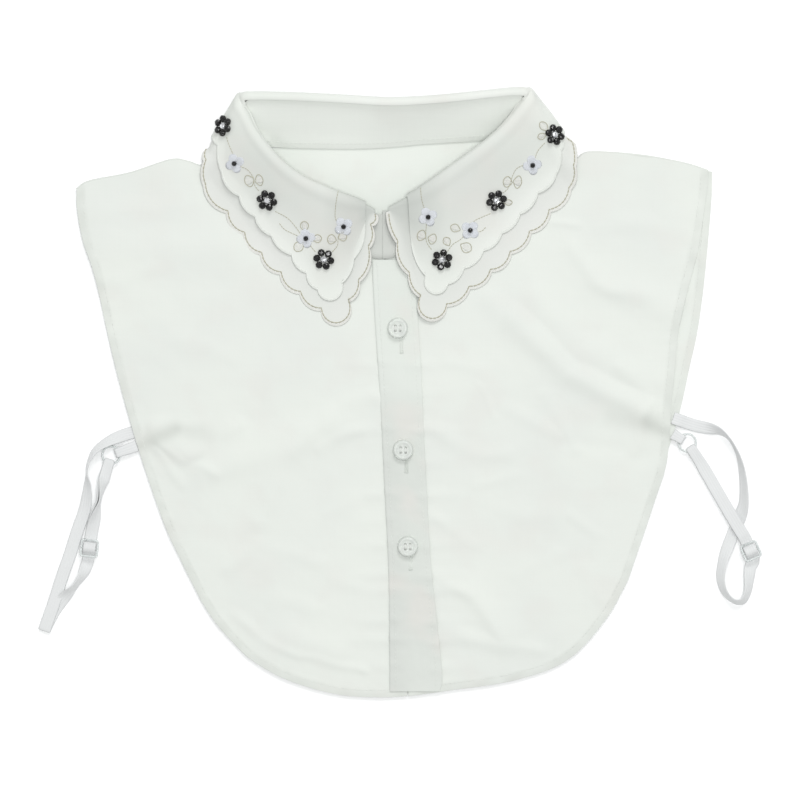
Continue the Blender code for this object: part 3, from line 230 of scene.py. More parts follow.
# Thread loops, like wings: x, y, length, width, direction of the narrow end in degrees
LOOPS = [(-83.9, 120.4, 5.4, 6.0, 25), (-78.4, 120.6, 4.6, 5.6, 195), (-52.7, 94.6, 5.6, 4.2, 280),
         (-45.6, 87.6, 5.2, 4.0, 190), (-55.9, 83.4, 6.8, 4.8, 50), (-37.2, 87.2, 5.2, 4.8, 350),
         (-31.2, 88.7, 5.0, 4.6, 195), (13.8, 89.3, 5.0, 5.6, 335), (19.7, 87.5, 4.8, 5.4, 160),
         (28.2, 86.0, 5.2, 3.8, 300), (39.0, 82.7, 6.8, 5.2, 150), (33.0, 93.6, 5.8, 4.0, 340),
         (62.6, 119.8, 5.2, 5.4, 350), (68.2, 119.8, 4.8, 6.4, 170), (62.9, 108.2, 4.8, 2.8, 180),
         (83.0, 151.0, 6.2, 3.8, 315), (82.0, 145.6, 5.0, 3.2, 20)]
STEMS = [[(-33.3, 115.8), (-34.7, 108.1), (-35.3, 100.1), (-33.9, 96.2)],
         [(-69.5, 103.1), (-62.5, 99.3), (-57.7, 94.1), (-55.2, 90.5)],
         [(-67.1, 96.4), (-64.6, 93.3), (-61.5, 91.4), (-56.1, 89.0)],
         [(-96.8, 145.2), (-95.4, 140.6), (-92.6, 134.3)],
         [(-89.7, 128.6), (-85.2, 126.7), (-81.8, 122.4), (-80.9, 117.8), (-77.6, 113.5)],
         [(-50.4, 85.3), (-48.7, 82.6), (-45.8, 79.1)],
         [(-31.6, 92.7), (-33.6, 87.6), (-34.1, 83.6), (-37.8, 79.1)],
         [(13.2, 116.3), (13.6, 111.0), (14.8, 105.9), (16.3, 102.4)],
         [(16.9, 97.9), (16.2, 92.7), (16.6, 85.6), (20.3, 80.2)],
         [(28.3, 80.2), (31.7, 84.5), (35.7, 87.0), (39.1, 90.5)],
         [(42.0, 93.9), (43.7, 97.6), (48.2, 99.9), (53.4, 102.1)],
         [(43.1, 91.3), (47.8, 91.9), (50.6, 94.6)],
         [(59.6, 113.3), (63.0, 116.4), (65.3, 122.9), (67.6, 127.2), (72.7, 129.7)],
         [(77.9, 132.6), (79.9, 137.6), (84.1, 142.3)]]

# Elastics: x, y, height of the middle when flat, roll in degrees
RIGHT_LONG = [(-149.4, -22.3, 0.45, 0), (-156.6, -24.4, 0.45, 8), (-165.5, -28.2, 0.45, 40),
              (-172.4, -33.2, 0.45, 60), (-176.0, -40.0, 0.45, 78), (-176.7, -46.0, 0.45, 84),
              (-176.4, -54.0, 0.6, 45), (-178.0, -66.3, 0.9, 10), (-182.1, -78.3, 1.5, 0),
              (-186.4, -92.0, 1.75, 0), (-190.8, -104.5, 1.75, 0), (-195.4, -119.0, 1.75, 0),
              (-201.0, -135.0, 1.75, 0)]
RIGHT_RETURN = [(-201.0, -135.0, 0.45, 0), (-195.6, -124.5, 0.45, 0), (-189.6, -116.6, 0.45, 20),
                (-184.2, -111.0, 0.45, 62), (-179.6, -104.5, 0.45, 50), (-177.0, -98.2, 0.45, 0)]
RIGHT_DOUBLE = [(-174.2, -80.0, 1.1, 0), (-172.9, -74.0, 1.1, 20), (-171.0, -66.0, 1.1, 68),
                (-169.6, -60.5, 1.1, 86), (-168.2, -53.0, 1.1, 60), (-166.6, -47.5, 1.4, 15)]
RIGHT_SLIDER = (-175.3, -88.6)
RIGHT_RING = (-163.0, -35.6)
RIGHT_TAB = [(-148.4, -30.3, 1.85), (-152.5, -31.8, 2.6)]
LEFT_LONG = [(157.0, -14.4, 1.75, 0), (161.2, -15.9, 1.7, 0), (164.6, -17.1, 0.95, 0),
             (168.2, -18.3, 0.55, 0), (172.0, -19.3, 0.48, 5), (176.5, -20.2, 0.45, 15),
             (182.5, -21.6, 0.45, 50), (187.6, -25.0, 0.45, 78), (191.4, -30.2, 0.45, 82),
             (194.4, -37.0, 0.45, 75), (196.3, -45.0, 0.45, 62), (197.2, -53.6, 0.45, 52),
             (197.2, -62.9, 0.45, 40), (195.4, -70.4, 0.45, 10), (192.6, -77.4, 0.45, 0),
             (189.0, -86.0, 0.45, 10), (185.2, -96.5, 0.45, 42), (184.0, -105.5, 0.45, 50),
             (186.2, -113.6, 0.45, 62), (191.2, -118.6, 0.45, 70), (196.6, -118.8, 0.45, 56),
             (199.6, -113.0, 0.45, 50), (200.4, -105.5, 0.45, 30), (201.0, -99.0, 0.45, 0)]
LEFT_DOUBLE = [(197.6, -82.2, 2.3, 0), (192.7, -74.4, 2.3, 0), (186.7, -64.2, 1.8, 0),
               (178.4, -49.8, 1.2, 0), (172.0, -38.8, 1.3, 0)]
LEFT_SLIDER = (201.2, -90.2)
LEFT_RING = (165.2, -28.6)
LEFT_TAB = [(156.9, -23.5, 1.85), (158.2, -24.3, 2.45)]
STRAP_WIDTH = 7.0
STRAP_CLOTH = 0.9
STRAP_STEP = 1.3
RING_RADIUS = 5.0
RING_WIRE = 0.6
RING_PASS = 5.4
TAB_WIDTH = 6.2
GAP = 0.3
SLIDER_MIDDLE = 3.6

# Camera, floor and light
VIEW_CENTRE = (1.5, -4.2)
VIEW_WIDTH = 456.0
CAMERA_HEIGHT = 2300.0
SENSOR_WIDTH = 36.0
FLOOR_SIZE = 3000.0
FLOOR_HEIGHT = -0.2
SKY_STRENGTH = 0.49


def unit(vector):
    return vector / np.linalg.norm(vector)


def through(points, steps):
    """A smooth curve through the points: each span is a Catmull-Rom piece of so many steps."""
    path = np.array(points, float)
    padded = np.vstack([2 * path[0] - path[1], path, 2 * path[-1] - path[-2]])
    curve = []
    for start in range(len(path) - 1):
        before, first, last, after = padded[start:start + 4]
        for step in range(steps):
            t = step / steps
            curve.append(0.5 * (2 * first + (last - before) * t
                                + (2 * before - 5 * first + 4 * last - after) * t ** 2
                                + (3 * first - before - 3 * last + after) * t ** 3))
    curve.append(path[-1])
    return np.array(curve)


def smooth(points, steps):
    """Rows of points joined by cubics that don't overshoot where the rows are unevenly spaced."""
    points = np.asarray(points, float)
    spans = np.diff(points, axis=0)
    lengths = np.maximum(np.linalg.norm(spans, axis=-1, keepdims=True), 1e-6)
    slopes = spans / lengths
    tangents = np.empty_like(points)
    tangents[0], tangents[-1] = slopes[0], slopes[-1]
    tangents[1:-1] = ((lengths[:-1] * slopes[1:] + lengths[1:] * slopes[:-1])
                      / (lengths[:-1] + lengths[1:]))
    rows = []
    counts = [steps] * len(spans) if isinstance(steps, int) else steps
    for index, count in enumerate(counts):
        for step in range(count):
            t = step / count
            rows.append((2 * t ** 3 - 3 * t ** 2 + 1) * points[index]
                        + (t ** 3 - 2 * t ** 2 + t) * lengths[index] * tangents[index]
                        + (3 * t ** 2 - 2 * t ** 3) * points[index + 1]
                        + (t ** 3 - t ** 2) * lengths[index] * tangents[index + 1])
    rows.append(points[-1])
    return np.array(rows)


def spaced(points, count):
    """So many equal steps along a curve."""
    path = np.array(points, float)
    lengths = np.concatenate([[0], np.cumsum(np.linalg.norm(np.diff(path, axis=0), axis=1))])
    wanted = np.linspace(0, lengths[-1], count + 1)
    return np.stack([np.interp(wanted, lengths, path[:, axis]) for axis in range(path.shape[1])], 1)


def patch(top, bottom, left, right):
    """A grid between four edges: top and bottom run left to right, the sides from top to bottom."""
    down = np.linspace(0, 1, len(left))[:, None, None]
    across = np.linspace(0, 1, len(top))[None, :, None]
    between_rows = (1 - down) * top[None] + down * bottom[None]
    between_sides = (1 - across) * left[:, None] + across * right[:, None]
    corners = ((1 - down) * ((1 - across) * top[0] + across * top[-1])
               + down * ((1 - across) * bottom[0] + across * bottom[-1]))
    return between_rows + between_sides - corners


def edge_distance(points, outline):
    """How far each point is from the nearest place on a line, in millimetres."""
    starts, spans = outline[:-1], np.diff(outline, axis=0)
    squares = np.maximum((spans ** 2).sum(axis=1), 1e-9)
    away = points[:, None] - starts[None]
    share = np.clip((away * spans[None]).sum(axis=2) / squares[None], 0, 1)
    return np.linalg.norm(away - share[:, :, None] * spans[None], axis=2).min(axis=1)


def face_normals(grid):
    """The normal at each point of a grid of points."""
    face = np.cross(np.gradient(grid, axis=0), np.gradient(grid, axis=1))
    return face / np.maximum(np.linalg.norm(face, axis=2)[:, :, None], 1e-9)


def flat_axes(degrees):
    """The flat directions ahead and across at a turn."""
    turn = math.radians(degrees)
    return np.array([math.cos(turn), math.sin(turn)]), np.array([-math.sin(turn), math.cos(turn)])


def inset_line(line, distance):
    """A flat line moved square to itself, to the left of its run."""
    along = np.gradient(line[:, :2], axis=0)
    along /= np.linalg.norm(along, axis=1)[:, None]
    moved = line.copy()
    moved[:, :2] += np.stack([-along[:, 1], along[:, 0]], 1) * distance
    return moved


def ripple(points, scale, seed):
    """Soft uneven values from -1 to 1 over the points, the same on each run."""
    return np.array([noise.noise(Vector((x / scale, y / scale, seed))) for x, y in points])


def tint(red, green, blue):
    """A colour as seen on a screen, 0 to 255, as the linear values that shaders take."""
    shares = [value / 255 for value in (red, green, blue)]
    return tuple(s / 12.92 if s <= 0.04045 else ((s + 0.055) / 1.055) ** 2.4 for s in shares) + (1.0,)


# Shader groups
def new_group(name, inputs, outputs):
    group = bpy.data.node_groups.new(name, "ShaderNodeTree")
    for socket, kind, value in inputs:
        made = group.interface.new_socket(socket, in_out="INPUT", socket_type=kind)
        made.default_value = value
    for socket, kind in outputs:
        group.interface.new_socket(socket, in_out="OUTPUT", socket_type=kind)
    return group, group.nodes.new("NodeGroupInput"), group.nodes.new("NodeGroupOutput")


def math_node(tree, operation, first, second=None):
    made = tree.nodes.new("ShaderNodeMath")
    made.operation = operation
    for socket, value in zip(made.inputs, (first, second)):
        if value is None:
            continue
        if isinstance(value, (int, float)):
            socket.default_value = value
        else:
            tree.links.new(value, socket)
    return made.outputs[0]


def mixed_colour(tree, factor, first, second, blend="MIX"):
    made = tree.nodes.new("ShaderNodeMix")
    made.data_type = "RGBA"
    made.blend_type = blend
    for name, value in (("Factor_Float", factor), ("A_Color", first), ("B_Color", second)):
        socket = next(item for item in made.inputs if item.identifier == name)
        if hasattr(value, "is_output"):
            tree.links.new(value, socket)
        else:
            socket.default_value = value
    return next(item for item in made.outputs if item.identifier == "Result_Color")


def noise_node(tree, vector, scale, detail=2.0):
    made = tree.nodes.new("ShaderNodeTexNoise")
    made.inputs["Scale"].default_value = scale
    made.inputs["Detail"].default_value = detail
    tree.links.new(vector, made.inputs["Vector"])
    return made.outputs["Fac"]


def stretched(tree, vector, scale):
    made = tree.nodes.new("ShaderNodeMapping")
    made.inputs["Scale"].default_value = scale
    tree.links.new(vector, made.inputs["Vector"])
    return made.outputs["Vector"]


def weave_group():
    """Plain weave: threads over and under each other, with thicker and thinner yarns."""
    group, inputs, outputs = new_group(
        "plain_weave", [("Pitch", "NodeSocketFloat", 0.0005)],
        [("Height", "NodeSocketFloat"), ("Yarn", "NodeSocketFloat")])
    place = group.nodes.new("ShaderNodeTexCoord").outputs["Object"]
    parts = group.nodes.new("ShaderNodeSeparateXYZ")
    group.links.new(place, parts.inputs[0])
    turns = math_node(group, "DIVIDE", math.tau, inputs.outputs["Pitch"])
    warp = math_node(group, "SINE", math_node(group, "MULTIPLY", parts.outputs["X"], turns))
    weft = math_node(group, "SINE", math_node(group, "MULTIPLY", parts.outputs["Y"], turns))
    crossing = math_node(group, "MULTIPLY", warp, weft)
    slub_x = noise_node(group, stretched(group, place, (1500, 30, 30)), 1.0, 1.0)
    slub_y = noise_node(group, stretched(group, place, (30, 1500, 30)), 1.0, 1.0)
    yarn = math_node(group, "MULTIPLY", math_node(group, "ADD", slub_x, slub_y), 0.5)
    height = math_node(group, "ADD", math_node(group, "MULTIPLY", crossing, 0.5), yarn)
    group.links.new(height, outputs.inputs["Height"])
    group.links.new(yarn, outputs.inputs["Yarn"])
    return group


def unevenness_group():
    """Broad, faint differences of tone, as washed and pressed cloth has."""
    group, inputs, outputs = new_group(
        "uneven_tone", [("Size", "NodeSocketFloat", 18.0)],
        [("Broad", "NodeSocketFloat"), ("Fine", "NodeSocketFloat")])
    place = group.nodes.new("ShaderNodeTexCoord").outputs["Object"]
    broad = group.nodes.new("ShaderNodeTexNoise")
    group.links.new(place, broad.inputs["Vector"])
    group.links.new(inputs.outputs["Size"], broad.inputs["Scale"])
    fine = noise_node(group, place, 220.0, 3.0)
    group.links.new(broad.outputs["Fac"], outputs.inputs["Broad"])
    group.links.new(fine, outputs.inputs["Fine"])
    return group


WEAVE = weave_group()
UNEVEN = unevenness_group()


def new_material(name, roughness, metallic=0.0, specular=0.5):
    made = bpy.data.materials.new(name)
    made.use_nodes = True
    shader = made.node_tree.nodes["Principled BSDF"]
    shader.inputs["Roughness"].default_value = roughness
    shader.inputs["Metallic"].default_value = metallic
    shader.inputs["Specular IOR Level"].default_value = specular
    return made, made.node_tree, shader


def placed_group(tree, group, **values):
    made = tree.nodes.new("ShaderNodeGroup")
    made.node_tree = group
    for name, value in values.items():
        made.inputs[name].default_value = value
    return made.outputs


def bumped(tree, shader, height, strength, distance):
    bump = tree.nodes.new("ShaderNodeBump")
    bump.inputs["Strength"].default_value = strength
    bump.inputs["Distance"].default_value = distance
    tree.links.new(height, bump.inputs["Height"])
    tree.links.new(bump.outputs["Normal"], shader.inputs["Normal"])


def cotton(name, light, dark, hem, warmth=0.3):
    """White cotton: close tones in broad patches, a deeper tone where the cloth lies in two layers and
    where shade is painted on, plain weave.
    """
    made, tree, shader = new_material(name, 0.88, specular=0.25)
    shader.inputs["Sheen Weight"].default_value = 0.1
    shader.inputs["Sheen Roughness"].default_value = 0.5
    weave = placed_group(tree, WEAVE, Pitch=0.00052)
    uneven = placed_group(tree, UNEVEN, Size=16.0)
    spread = tree.nodes.new("ShaderNodeMapRange")
    spread.inputs["From Min"].default_value = 0.35
    spread.inputs["From Max"].default_value = 0.65
    tree.links.new(uneven["Broad"], spread.inputs["Value"])
    base = mixed_colour(tree, spread.outputs["Result"], light, dark)
    # The attribute sets the share of the deeper colour: at hems and seams, where the cloth lies in two
    # layers; on the placket, more towards its bottom and left edge; and as painted shade on the collar and
    # beside the strap bases.
    deeper_tone_and_painted_shade = tree.nodes.new("ShaderNodeAttribute")
    deeper_tone_and_painted_shade.attribute_name = "deeper_tone_and_painted_shade"
    base = mixed_colour(tree, deeper_tone_and_painted_shade.outputs["Fac"], base, hem)
    warm = tree.nodes.new("ShaderNodeMapRange")
    warm.inputs["From Min"].default_value = 0.52
    warm.inputs["From Max"].default_value = 0.66
    warm.inputs["To Max"].default_value = warmth
    tree.links.new(placed_group(tree, UNEVEN, Size=31.0)["Broad"], warm.inputs["Value"])
    base = mixed_colour(tree, warm.outputs["Result"], base, WARM_TONE)
    faint = math_node(tree, "MULTIPLY", weave["Yarn"], 0.08)
    base = mixed_colour(tree, faint, base, tint(176, 182, 178))
    tree.links.new(base, shader.inputs["Base Color"])
    bumped(tree, shader, weave["Height"], 0.22, 0.00012)
    return made


def thread(name, colour, other, roughness, metallic=0.0, sheen=0.0):
    """Twisted thread: fine slanted plies and a slightly uneven colour."""
    made, tree, shader = new_material(name, roughness, metallic)
    shader.inputs["Sheen Weight"].default_value = sheen
    place = tree.nodes.new("ShaderNodeTexCoord").outputs["Object"]
    ply = tree.nodes.new("ShaderNodeTexWave")
    ply.bands_direction = "DIAGONAL"
    ply.inputs["Scale"].default_value = 1800.0
    ply.inputs["Distortion"].default_value = 1.5
    tree.links.new(place, ply.inputs["Vector"])
    uneven = placed_group(tree, UNEVEN, Size=90.0)
    base = mixed_colour(tree, uneven["Broad"], colour, other)
    tree.links.new(base, shader.inputs["Base Color"])
    bumped(tree, shader, ply.outputs["Fac"], 0.4, 0.00008)
    return made


def elastic_tape():
    """Woven elastic: fine cross threads over the raised cords, cool white."""
    made, tree, shader = new_material("elastic_tape", 0.7, specular=0.3)
    shader.inputs["Sheen Weight"].default_value = 0.2
    place = tree.nodes.new("ShaderNodeTexCoord").outputs["Object"]
    fine = noise_node(tree, place, 2600.0, 2.0)
    broad = placed_group(tree, UNEVEN, Size=60.0)
    base = mixed_colour(tree, broad["Broad"], tint(217, 219, 219), tint(211, 213, 213))
    tree.links.new(base, shader.inputs["Base Color"])
    bumped(tree, shader, fine, 0.35, 0.0001)
    return made


def clear_nylon():
    made, tree, shader = new_material("clear_nylon", 0.2)
    shader.inputs["Transmission Weight"].default_value = 0.25
    shader.inputs["IOR"].default_value = 1.5
    uneven = placed_group(tree, UNEVEN, Size=120.0)
    base = mixed_colour(tree, uneven["Broad"], tint(226, 231, 230), tint(208, 214, 213))
    tree.links.new(base, shader.inputs["Base Color"])
    bumped(tree, shader, uneven["Fine"], 0.08, 0.0002)
    return made


def milky_button():
    """Moulded shell-like plastic with soft clouds in it."""
    made, tree, shader = new_material("milky_button", 0.42, specular=0.3)
    shader.inputs["Transmission Weight"].default_value = 0.4
    place = tree.nodes.new("ShaderNodeTexCoord").outputs["Object"]
    clouds = noise_node(tree, stretched(tree, place, (160, 420, 160)), 1.0, 3.0)
    base = mixed_colour(tree, clouds, tint(241, 245, 240), tint(234, 239, 234))
    tree.links.new(base, shader.inputs["Base Color"])
    bumped(tree, shader, clouds, 0.1, 0.0002)
    return made


def cut_stone(name, dark, bright, roughness, metallic, coat=0.15):
    """A cut stone: small cells of its colour are painted lighter and darker, painted glints and
    reflections standing in for the light its facets catch.
    """
    made, tree, shader = new_material(name, roughness, metallic)
    shader.inputs["Coat Weight"].default_value = coat
    shader.inputs["Coat Roughness"].default_value = 0.03
    place = tree.nodes.new("ShaderNodeTexCoord").outputs["Object"]
    cells = tree.nodes.new("ShaderNodeTexVoronoi")
    cells.inputs["Scale"].default_value = 1100.0
    tree.links.new(place, cells.inputs["Vector"])
    bits = tree.nodes.new("ShaderNodeSeparateColor")
    tree.links.new(cells.outputs["Color"], bits.inputs[0])
    painted_glint = math_node(tree, "POWER", bits.outputs[0], 3.0)
    base = mixed_colour(tree, painted_glint, dark, bright)
    tree.links.new(base, shader.inputs["Base Color"])
    bumped(tree, shader, bits.outputs[1], 0.25, 0.0002)
    return made


def plain_metal(name, colour, other):
    made, tree, shader = new_material(name, 0.3, 0.9)
    uneven = placed_group(tree, UNEVEN, Size=200.0)
    base = mixed_colour(tree, uneven["Fine"], colour, other)
    tree.links.new(base, shader.inputs["Base Color"])
    bumped(tree, shader, uneven["Fine"], 0.1, 0.0001)
    return made


# The hems' denser tone, also the painted shade of the creases beside the strap bases on the fronts.
HEM_TONE_AND_PAINTED_SHADE = tint(196, 200, 194)
WARM_TONE = tint(216, 213, 208)
# Painted shade for the collar leaf: on its slope below the fold, along the fold and at its two front ends.
PAINTED_LEAF_SHADE = tint(187, 191, 186)
PLACKET_TONE = tint(196, 199, 195)
PANEL = cotton("panel_cotton", tint(220, 224, 218), tint(217, 221, 216), HEM_TONE_AND_PAINTED_SHADE, 0.2)
BACK = cotton("back_cotton", tint(222, 226, 220), tint(218, 223, 217), HEM_TONE_AND_PAINTED_SHADE)
PLACKET_CLOTH = cotton("placket_cotton", tint(217, 222, 216), tint(211, 216, 210), PLACKET_TONE, 0.5)
# The stand's cotton is painted lighter than the other cloth, to cancel the shade on its slanted band; its
# third tone is painted shade at its two front ends.
STAND = cotton("stand_cotton", tint(232, 236, 230), tint(228, 232, 226), tint(196, 199, 194), 0.1)
UNDER = cotton("under_leaf_cotton", tint(217, 219, 215), tint(212, 215, 210), PAINTED_LEAF_SHADE)
UPPER = cotton("upper_leaf_cotton", tint(222, 225, 220), tint(218, 222, 216), PAINTED_LEAF_SHADE)
WHITE_THREAD = thread("white_sewing_thread", tint(222, 225, 220), tint(213, 217, 212), 0.55, sheen=0.2)
SATIN = thread("white_satin_thread", tint(225, 224, 219), tint(218, 219, 214), 0.5, sheen=0.2)
SATIN_EDGE = thread("tone_satin_thread", tint(226, 229, 224), tint(221, 224, 219), 0.6, sheen=0.1)
PETAL = thread("pale_blue_satin_thread", tint(216, 220, 226), tint(222, 225, 228), 0.42, sheen=0.1)
GOLD = thread("gold_thread", tint(187, 184, 163), tint(168, 165, 144), 0.45, metallic=0.1)
PLACKET_THREAD = thread("placket_thread", tint(218, 223, 217), tint(213, 218, 212), 0.7)
ELASTIC = elastic_tape()
NYLON = clear_nylon()
BUTTON = milky_button()
# The two tones of each stone are painted glints and reflections, mixed cell by cell.
BLACK_STONE = cut_stone("black_stone", tint(6, 6, 8), tint(40, 40, 38), 0.12, 0.0, coat=0.05)
CRYSTAL = cut_stone("clear_stone", tint(246, 248, 250), tint(96, 100, 108), 0.05, 0.6)
CUP = plain_metal("stone_cup_metal", tint(52, 46, 42), tint(30, 27, 25))


# Mesh building
def mesh_object(name, points, faces, materials, flat=False, face_materials=None):
    mesh = bpy.data.meshes.new(name)
    mesh.from_pydata((np.asarray(points, float) * METRES).tolist(), [], faces)
    for one in materials if isinstance(materials, (list, tuple)) else [materials]:
        mesh.materials.append(one)
    if face_materials is not None:
        mesh.polygons.foreach_set("material_index", face_materials)
    mesh.polygons.foreach_set("use_smooth", [not flat] * len(mesh.polygons))
    mesh.update()
    made = bpy.data.objects.new(name, mesh)
    bpy.context.scene.collection.objects.link(made)
    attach(made, "root")
    return made


def grid_faces(rows, columns):
    corners = (np.arange(rows - 1)[:, None] * columns + np.arange(columns - 1)[None]).reshape(-1)
    return np.stack([corners, corners + columns, corners + columns + 1, corners + 1], 1).tolist()


def cloth(name, grid, thickness, material, deeper_tone_and_painted_shade=None):
    """A thin cloth with crisp cut edges: the grid is its middle, between its two faces."""
    rows, columns = grid.shape[:2]
    made = mesh_object(name, grid.reshape(-1, 3), grid_faces(rows, columns), material)
    if deeper_tone_and_painted_shade is not None:
        layer = made.data.attributes.new("deeper_tone_and_painted_shade", "FLOAT", "POINT")
        layer.data.foreach_set("value", np.asarray(deeper_tone_and_painted_shade, np.float32).ravel())
    edges_used = np.empty(len(made.data.loops), np.int32)
    made.data.loops.foreach_get("edge_index", edges_used)
    rim = np.bincount(edges_used, minlength=len(made.data.edges)) == 1
    crisp = made.data.attributes.new("sharp_edge", "BOOLEAN", "EDGE")
    crisp.data.foreach_set("value", rim)
    wall = made.modifiers.new("cloth", "SOLIDIFY")
    wall.thickness = thickness * METRES
    wall.offset = 0.0
    return made


def tubes(name, paths, material, sides=5):
    """Many threads in one mesh. Each path is its points, the radius at each, and the way up."""
    points, faces = [], []
    turns = np.arange(sides) * math.tau / sides
    for line, radii, up in paths:
        line = np.asarray(line, float)
        along = np.gradient(line, axis=0)
        along /= np.maximum(np.linalg.norm(along, axis=1)[:, None], 1e-9)
        across = np.cross(along, np.broadcast_to(np.asarray(up, float), line.shape))
        across /= np.maximum(np.linalg.norm(across, axis=1)[:, None], 1e-9)
        over = np.cross(across, along)
        radii = np.broadcast_to(np.asarray(radii, float), (len(line),))
        ring = (across[:, None] * np.cos(turns)[None, :, None]
                + over[:, None] * np.sin(turns)[None, :, None]) * radii[:, None, None]
        start = len(points)
        points.extend((line[:, None] + ring).reshape(-1, 3))
        for row in range(len(line) - 1):
            low = start + row * sides
            for side in range(sides):
                following = (side + 1) % sides
                faces.append((low + side, low + following, low + sides + following, low + sides + side))
        faces.append(tuple(range(start, start + sides))[::-1])
        last = start + (len(line) - 1) * sides
        faces.append(tuple(range(last, last + sides)))
    return mesh_object(name, points, faces, material)


def stitch_paths(line, normals, length, gap, radius, lift):
    """Running stitches along a line: each rises out of the cloth and dips back into it."""
    steps = np.concatenate([[0], np.cumsum(np.linalg.norm(np.diff(line, axis=0), axis=1))])
    paths = []
    start = gap
    while start + length < steps[-1]:
        wanted = start + length * np.array([0.0, 0.18, 0.5, 0.82, 1.0])
        middle = np.stack([np.interp(wanted, steps, line[:, axis]) for axis in range(3)], 1)
        up = np.stack([np.interp(wanted, steps, normals[:, axis]) for axis in range(3)], 1)
        middle += up * (lift + radius * np.array([-0.9, 0.1, 0.45, 0.1, -0.9]))[:, None]
        paths.append((middle, radius * np.array([0.45, 0.9, 1.0, 0.9, 0.45]), up))
        start += length + gap
    return paths


# Front and back panels
def swell(points, rows):
    """Height of the folds or creases of a table at each point."""
    up, down = np.zeros(len(points)), np.zeros(len(points))
    for start_x, start_y, end_x, end_y, half_width, tall in rows:
        start, along = np.array([start_x, start_y]), np.array([end_x - start_x, end_y - start_y])
        share = np.clip(((points - start) @ along) / (along @ along), 0, 1)
        away = np.linalg.norm(points - start - share[:, None] * along, axis=1)
        height = tall * np.exp(-(away / half_width) ** 2)
        if tall > 0:
            up = np.maximum(up, height)
        else:
            down = np.minimum(down, height)
    return up + down


def front_height(points):
    """Height of the middle of the front cloth above the table at each flat point."""
    wander = np.stack([ripple(points, 22.0, 3.1), ripple(points, 22.0, 7.7)], 1) * 4.0
    strength = 0.8 + 0.5 * ripple(points, 15.0, 9.4)
    height = swell(points + 0.5 * wander, FOLDS) + strength * swell(points + wander, CREASES)
    height += 0.30 * ripple(points, 26.0, 1.3) + 0.16 * ripple(points, 10.0, 5.9)
    height += 0.05 * ripple(points, 4.0, 6.6)
    for y, reach, tall in PUCKERS:
        left = np.interp(y, [row[0] for row in PLACKET[::-1]], [row[1] for row in PLACKET[::-1]])
        right = np.interp(y, [row[0] for row in PLACKET[::-1]], [row[2] for row in PLACKET[::-1]])
        outside = np.maximum(np.maximum(left - points[:, 0], points[:, 0] - right), 0)
        height += tall * np.exp(-(outside / reach) ** 2 - ((points[:, 1] - y) / 3.2) ** 2) * (outside > 0)
    reach = np.abs(points[:, 0] + 5) * 0.85 + 36.0
    under_leaf = np.clip((points[:, 1] - reach + 12.0) / 10.0, 0, 1) * (reach < 136)
    return FRONT_MIDDLE + np.maximum(height, -0.45) * (1 - 0.9 * under_leaf)


def hem_relief(points, distance):
    """A turned-in hem: a little thicker, dented and drawn up by its stitching, its edge let down."""
    band = 1 / (1 + np.exp((distance - HEM_WIDTH) / 0.25))
    dent = np.exp(-((distance - HEM_STITCH) / 0.6) ** 2)
    drawn = np.exp(-((distance - HEM_STITCH) / 2.4) ** 2) * ripple(points, 3.6, 51.0)
    edge = np.clip(1 - distance / 3.0, 0, 1) ** 2
    mottled = np.clip(0.65 + 0.7 * ripple(points, 8.0, 33.0), 0, 1)
    return 0.13 * band - 0.1 * dent + 0.24 * drawn, 0.45 * band * mottled, edge


def neck_edge(sections):
    foot = np.array([section[3:5] for section in sections], float)
    fold = np.array([section[0:2] for section in sections], float)
    inward = (fold - foot) / np.linalg.norm(fold - foot, axis=1)[:, None]
    return foot + inward * NECK_OVERLAP


def front_panel(name, sections, shoulder, side, hem, sign):
    """One front: sign is -1 for the wearer's right, on the left as seen, and 1 for the other."""
    centre_top = CENTRE_X + sign * CENTRE_GAP / 2
    neck = neck_edge(sections)[::-1]
    neck[-1] = (centre_top, neck[-1][1])
    shoulder_row = spaced(through(shoulder, 12), 62)
    neck_row = spaced(through(neck, 8), 70)
    seam = np.vstack([shoulder_row[:-1], neck_row])
    rows = 210
    centre = spaced([neck[-1], hem[-1]], rows)
    lower = spaced(through(hem, 16), len(seam) - 1)
    outer = spaced(through(side, 16), rows)
    lower[-1] = centre[-1]
    seam[0] = outer[0]
    if sign < 0:
        flat = patch(seam, lower, outer, centre)
    else:
        flat = patch(seam[::-1], lower[::-1], centre, outer)
    points = flat.reshape(-1, 2)
    edge = np.vstack([outer, lower[1:]])
    relief, band, let_down = hem_relief(points, edge_distance(points, edge))
    height = front_height(points) + relief - 0.3 * let_down
    grid = np.concatenate([flat, height.reshape(*flat.shape[:2], 1)], axis=2)
    # Beside the strap bases the deeper tone is painted shade of the creases, as well as the tab end under
    # the front.
    made = cloth(name, grid, SHELL, PANEL, np.maximum(band, swell(points, SHOWN_THROUGH_AND_PAINTED_SHADE)))
    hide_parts(name.replace("_cloth", ""))
    outline = np.vstack([seam, centre[1:], lower[::-1][1:], outer[::-1][1:-1]])
    return made, edge, outline


def hem_stitches(name, edge, height, sign, hem_lift):
    """The row of machine stitches that holds a turned-in hem."""
    line = spaced(inset_line(spaced(edge, 400), HEM_STITCH * sign)[3:-3], 900)
    laid = np.column_stack([line, height(line) + hem_lift])
    up = np.tile(UP, (len(laid), 1))
    paths = stitch_paths(laid, up, STITCH_LENGTH, 0.55, STITCH_RADIUS, 0.0)
    return tubes(name, paths, WHITE_THREAD)


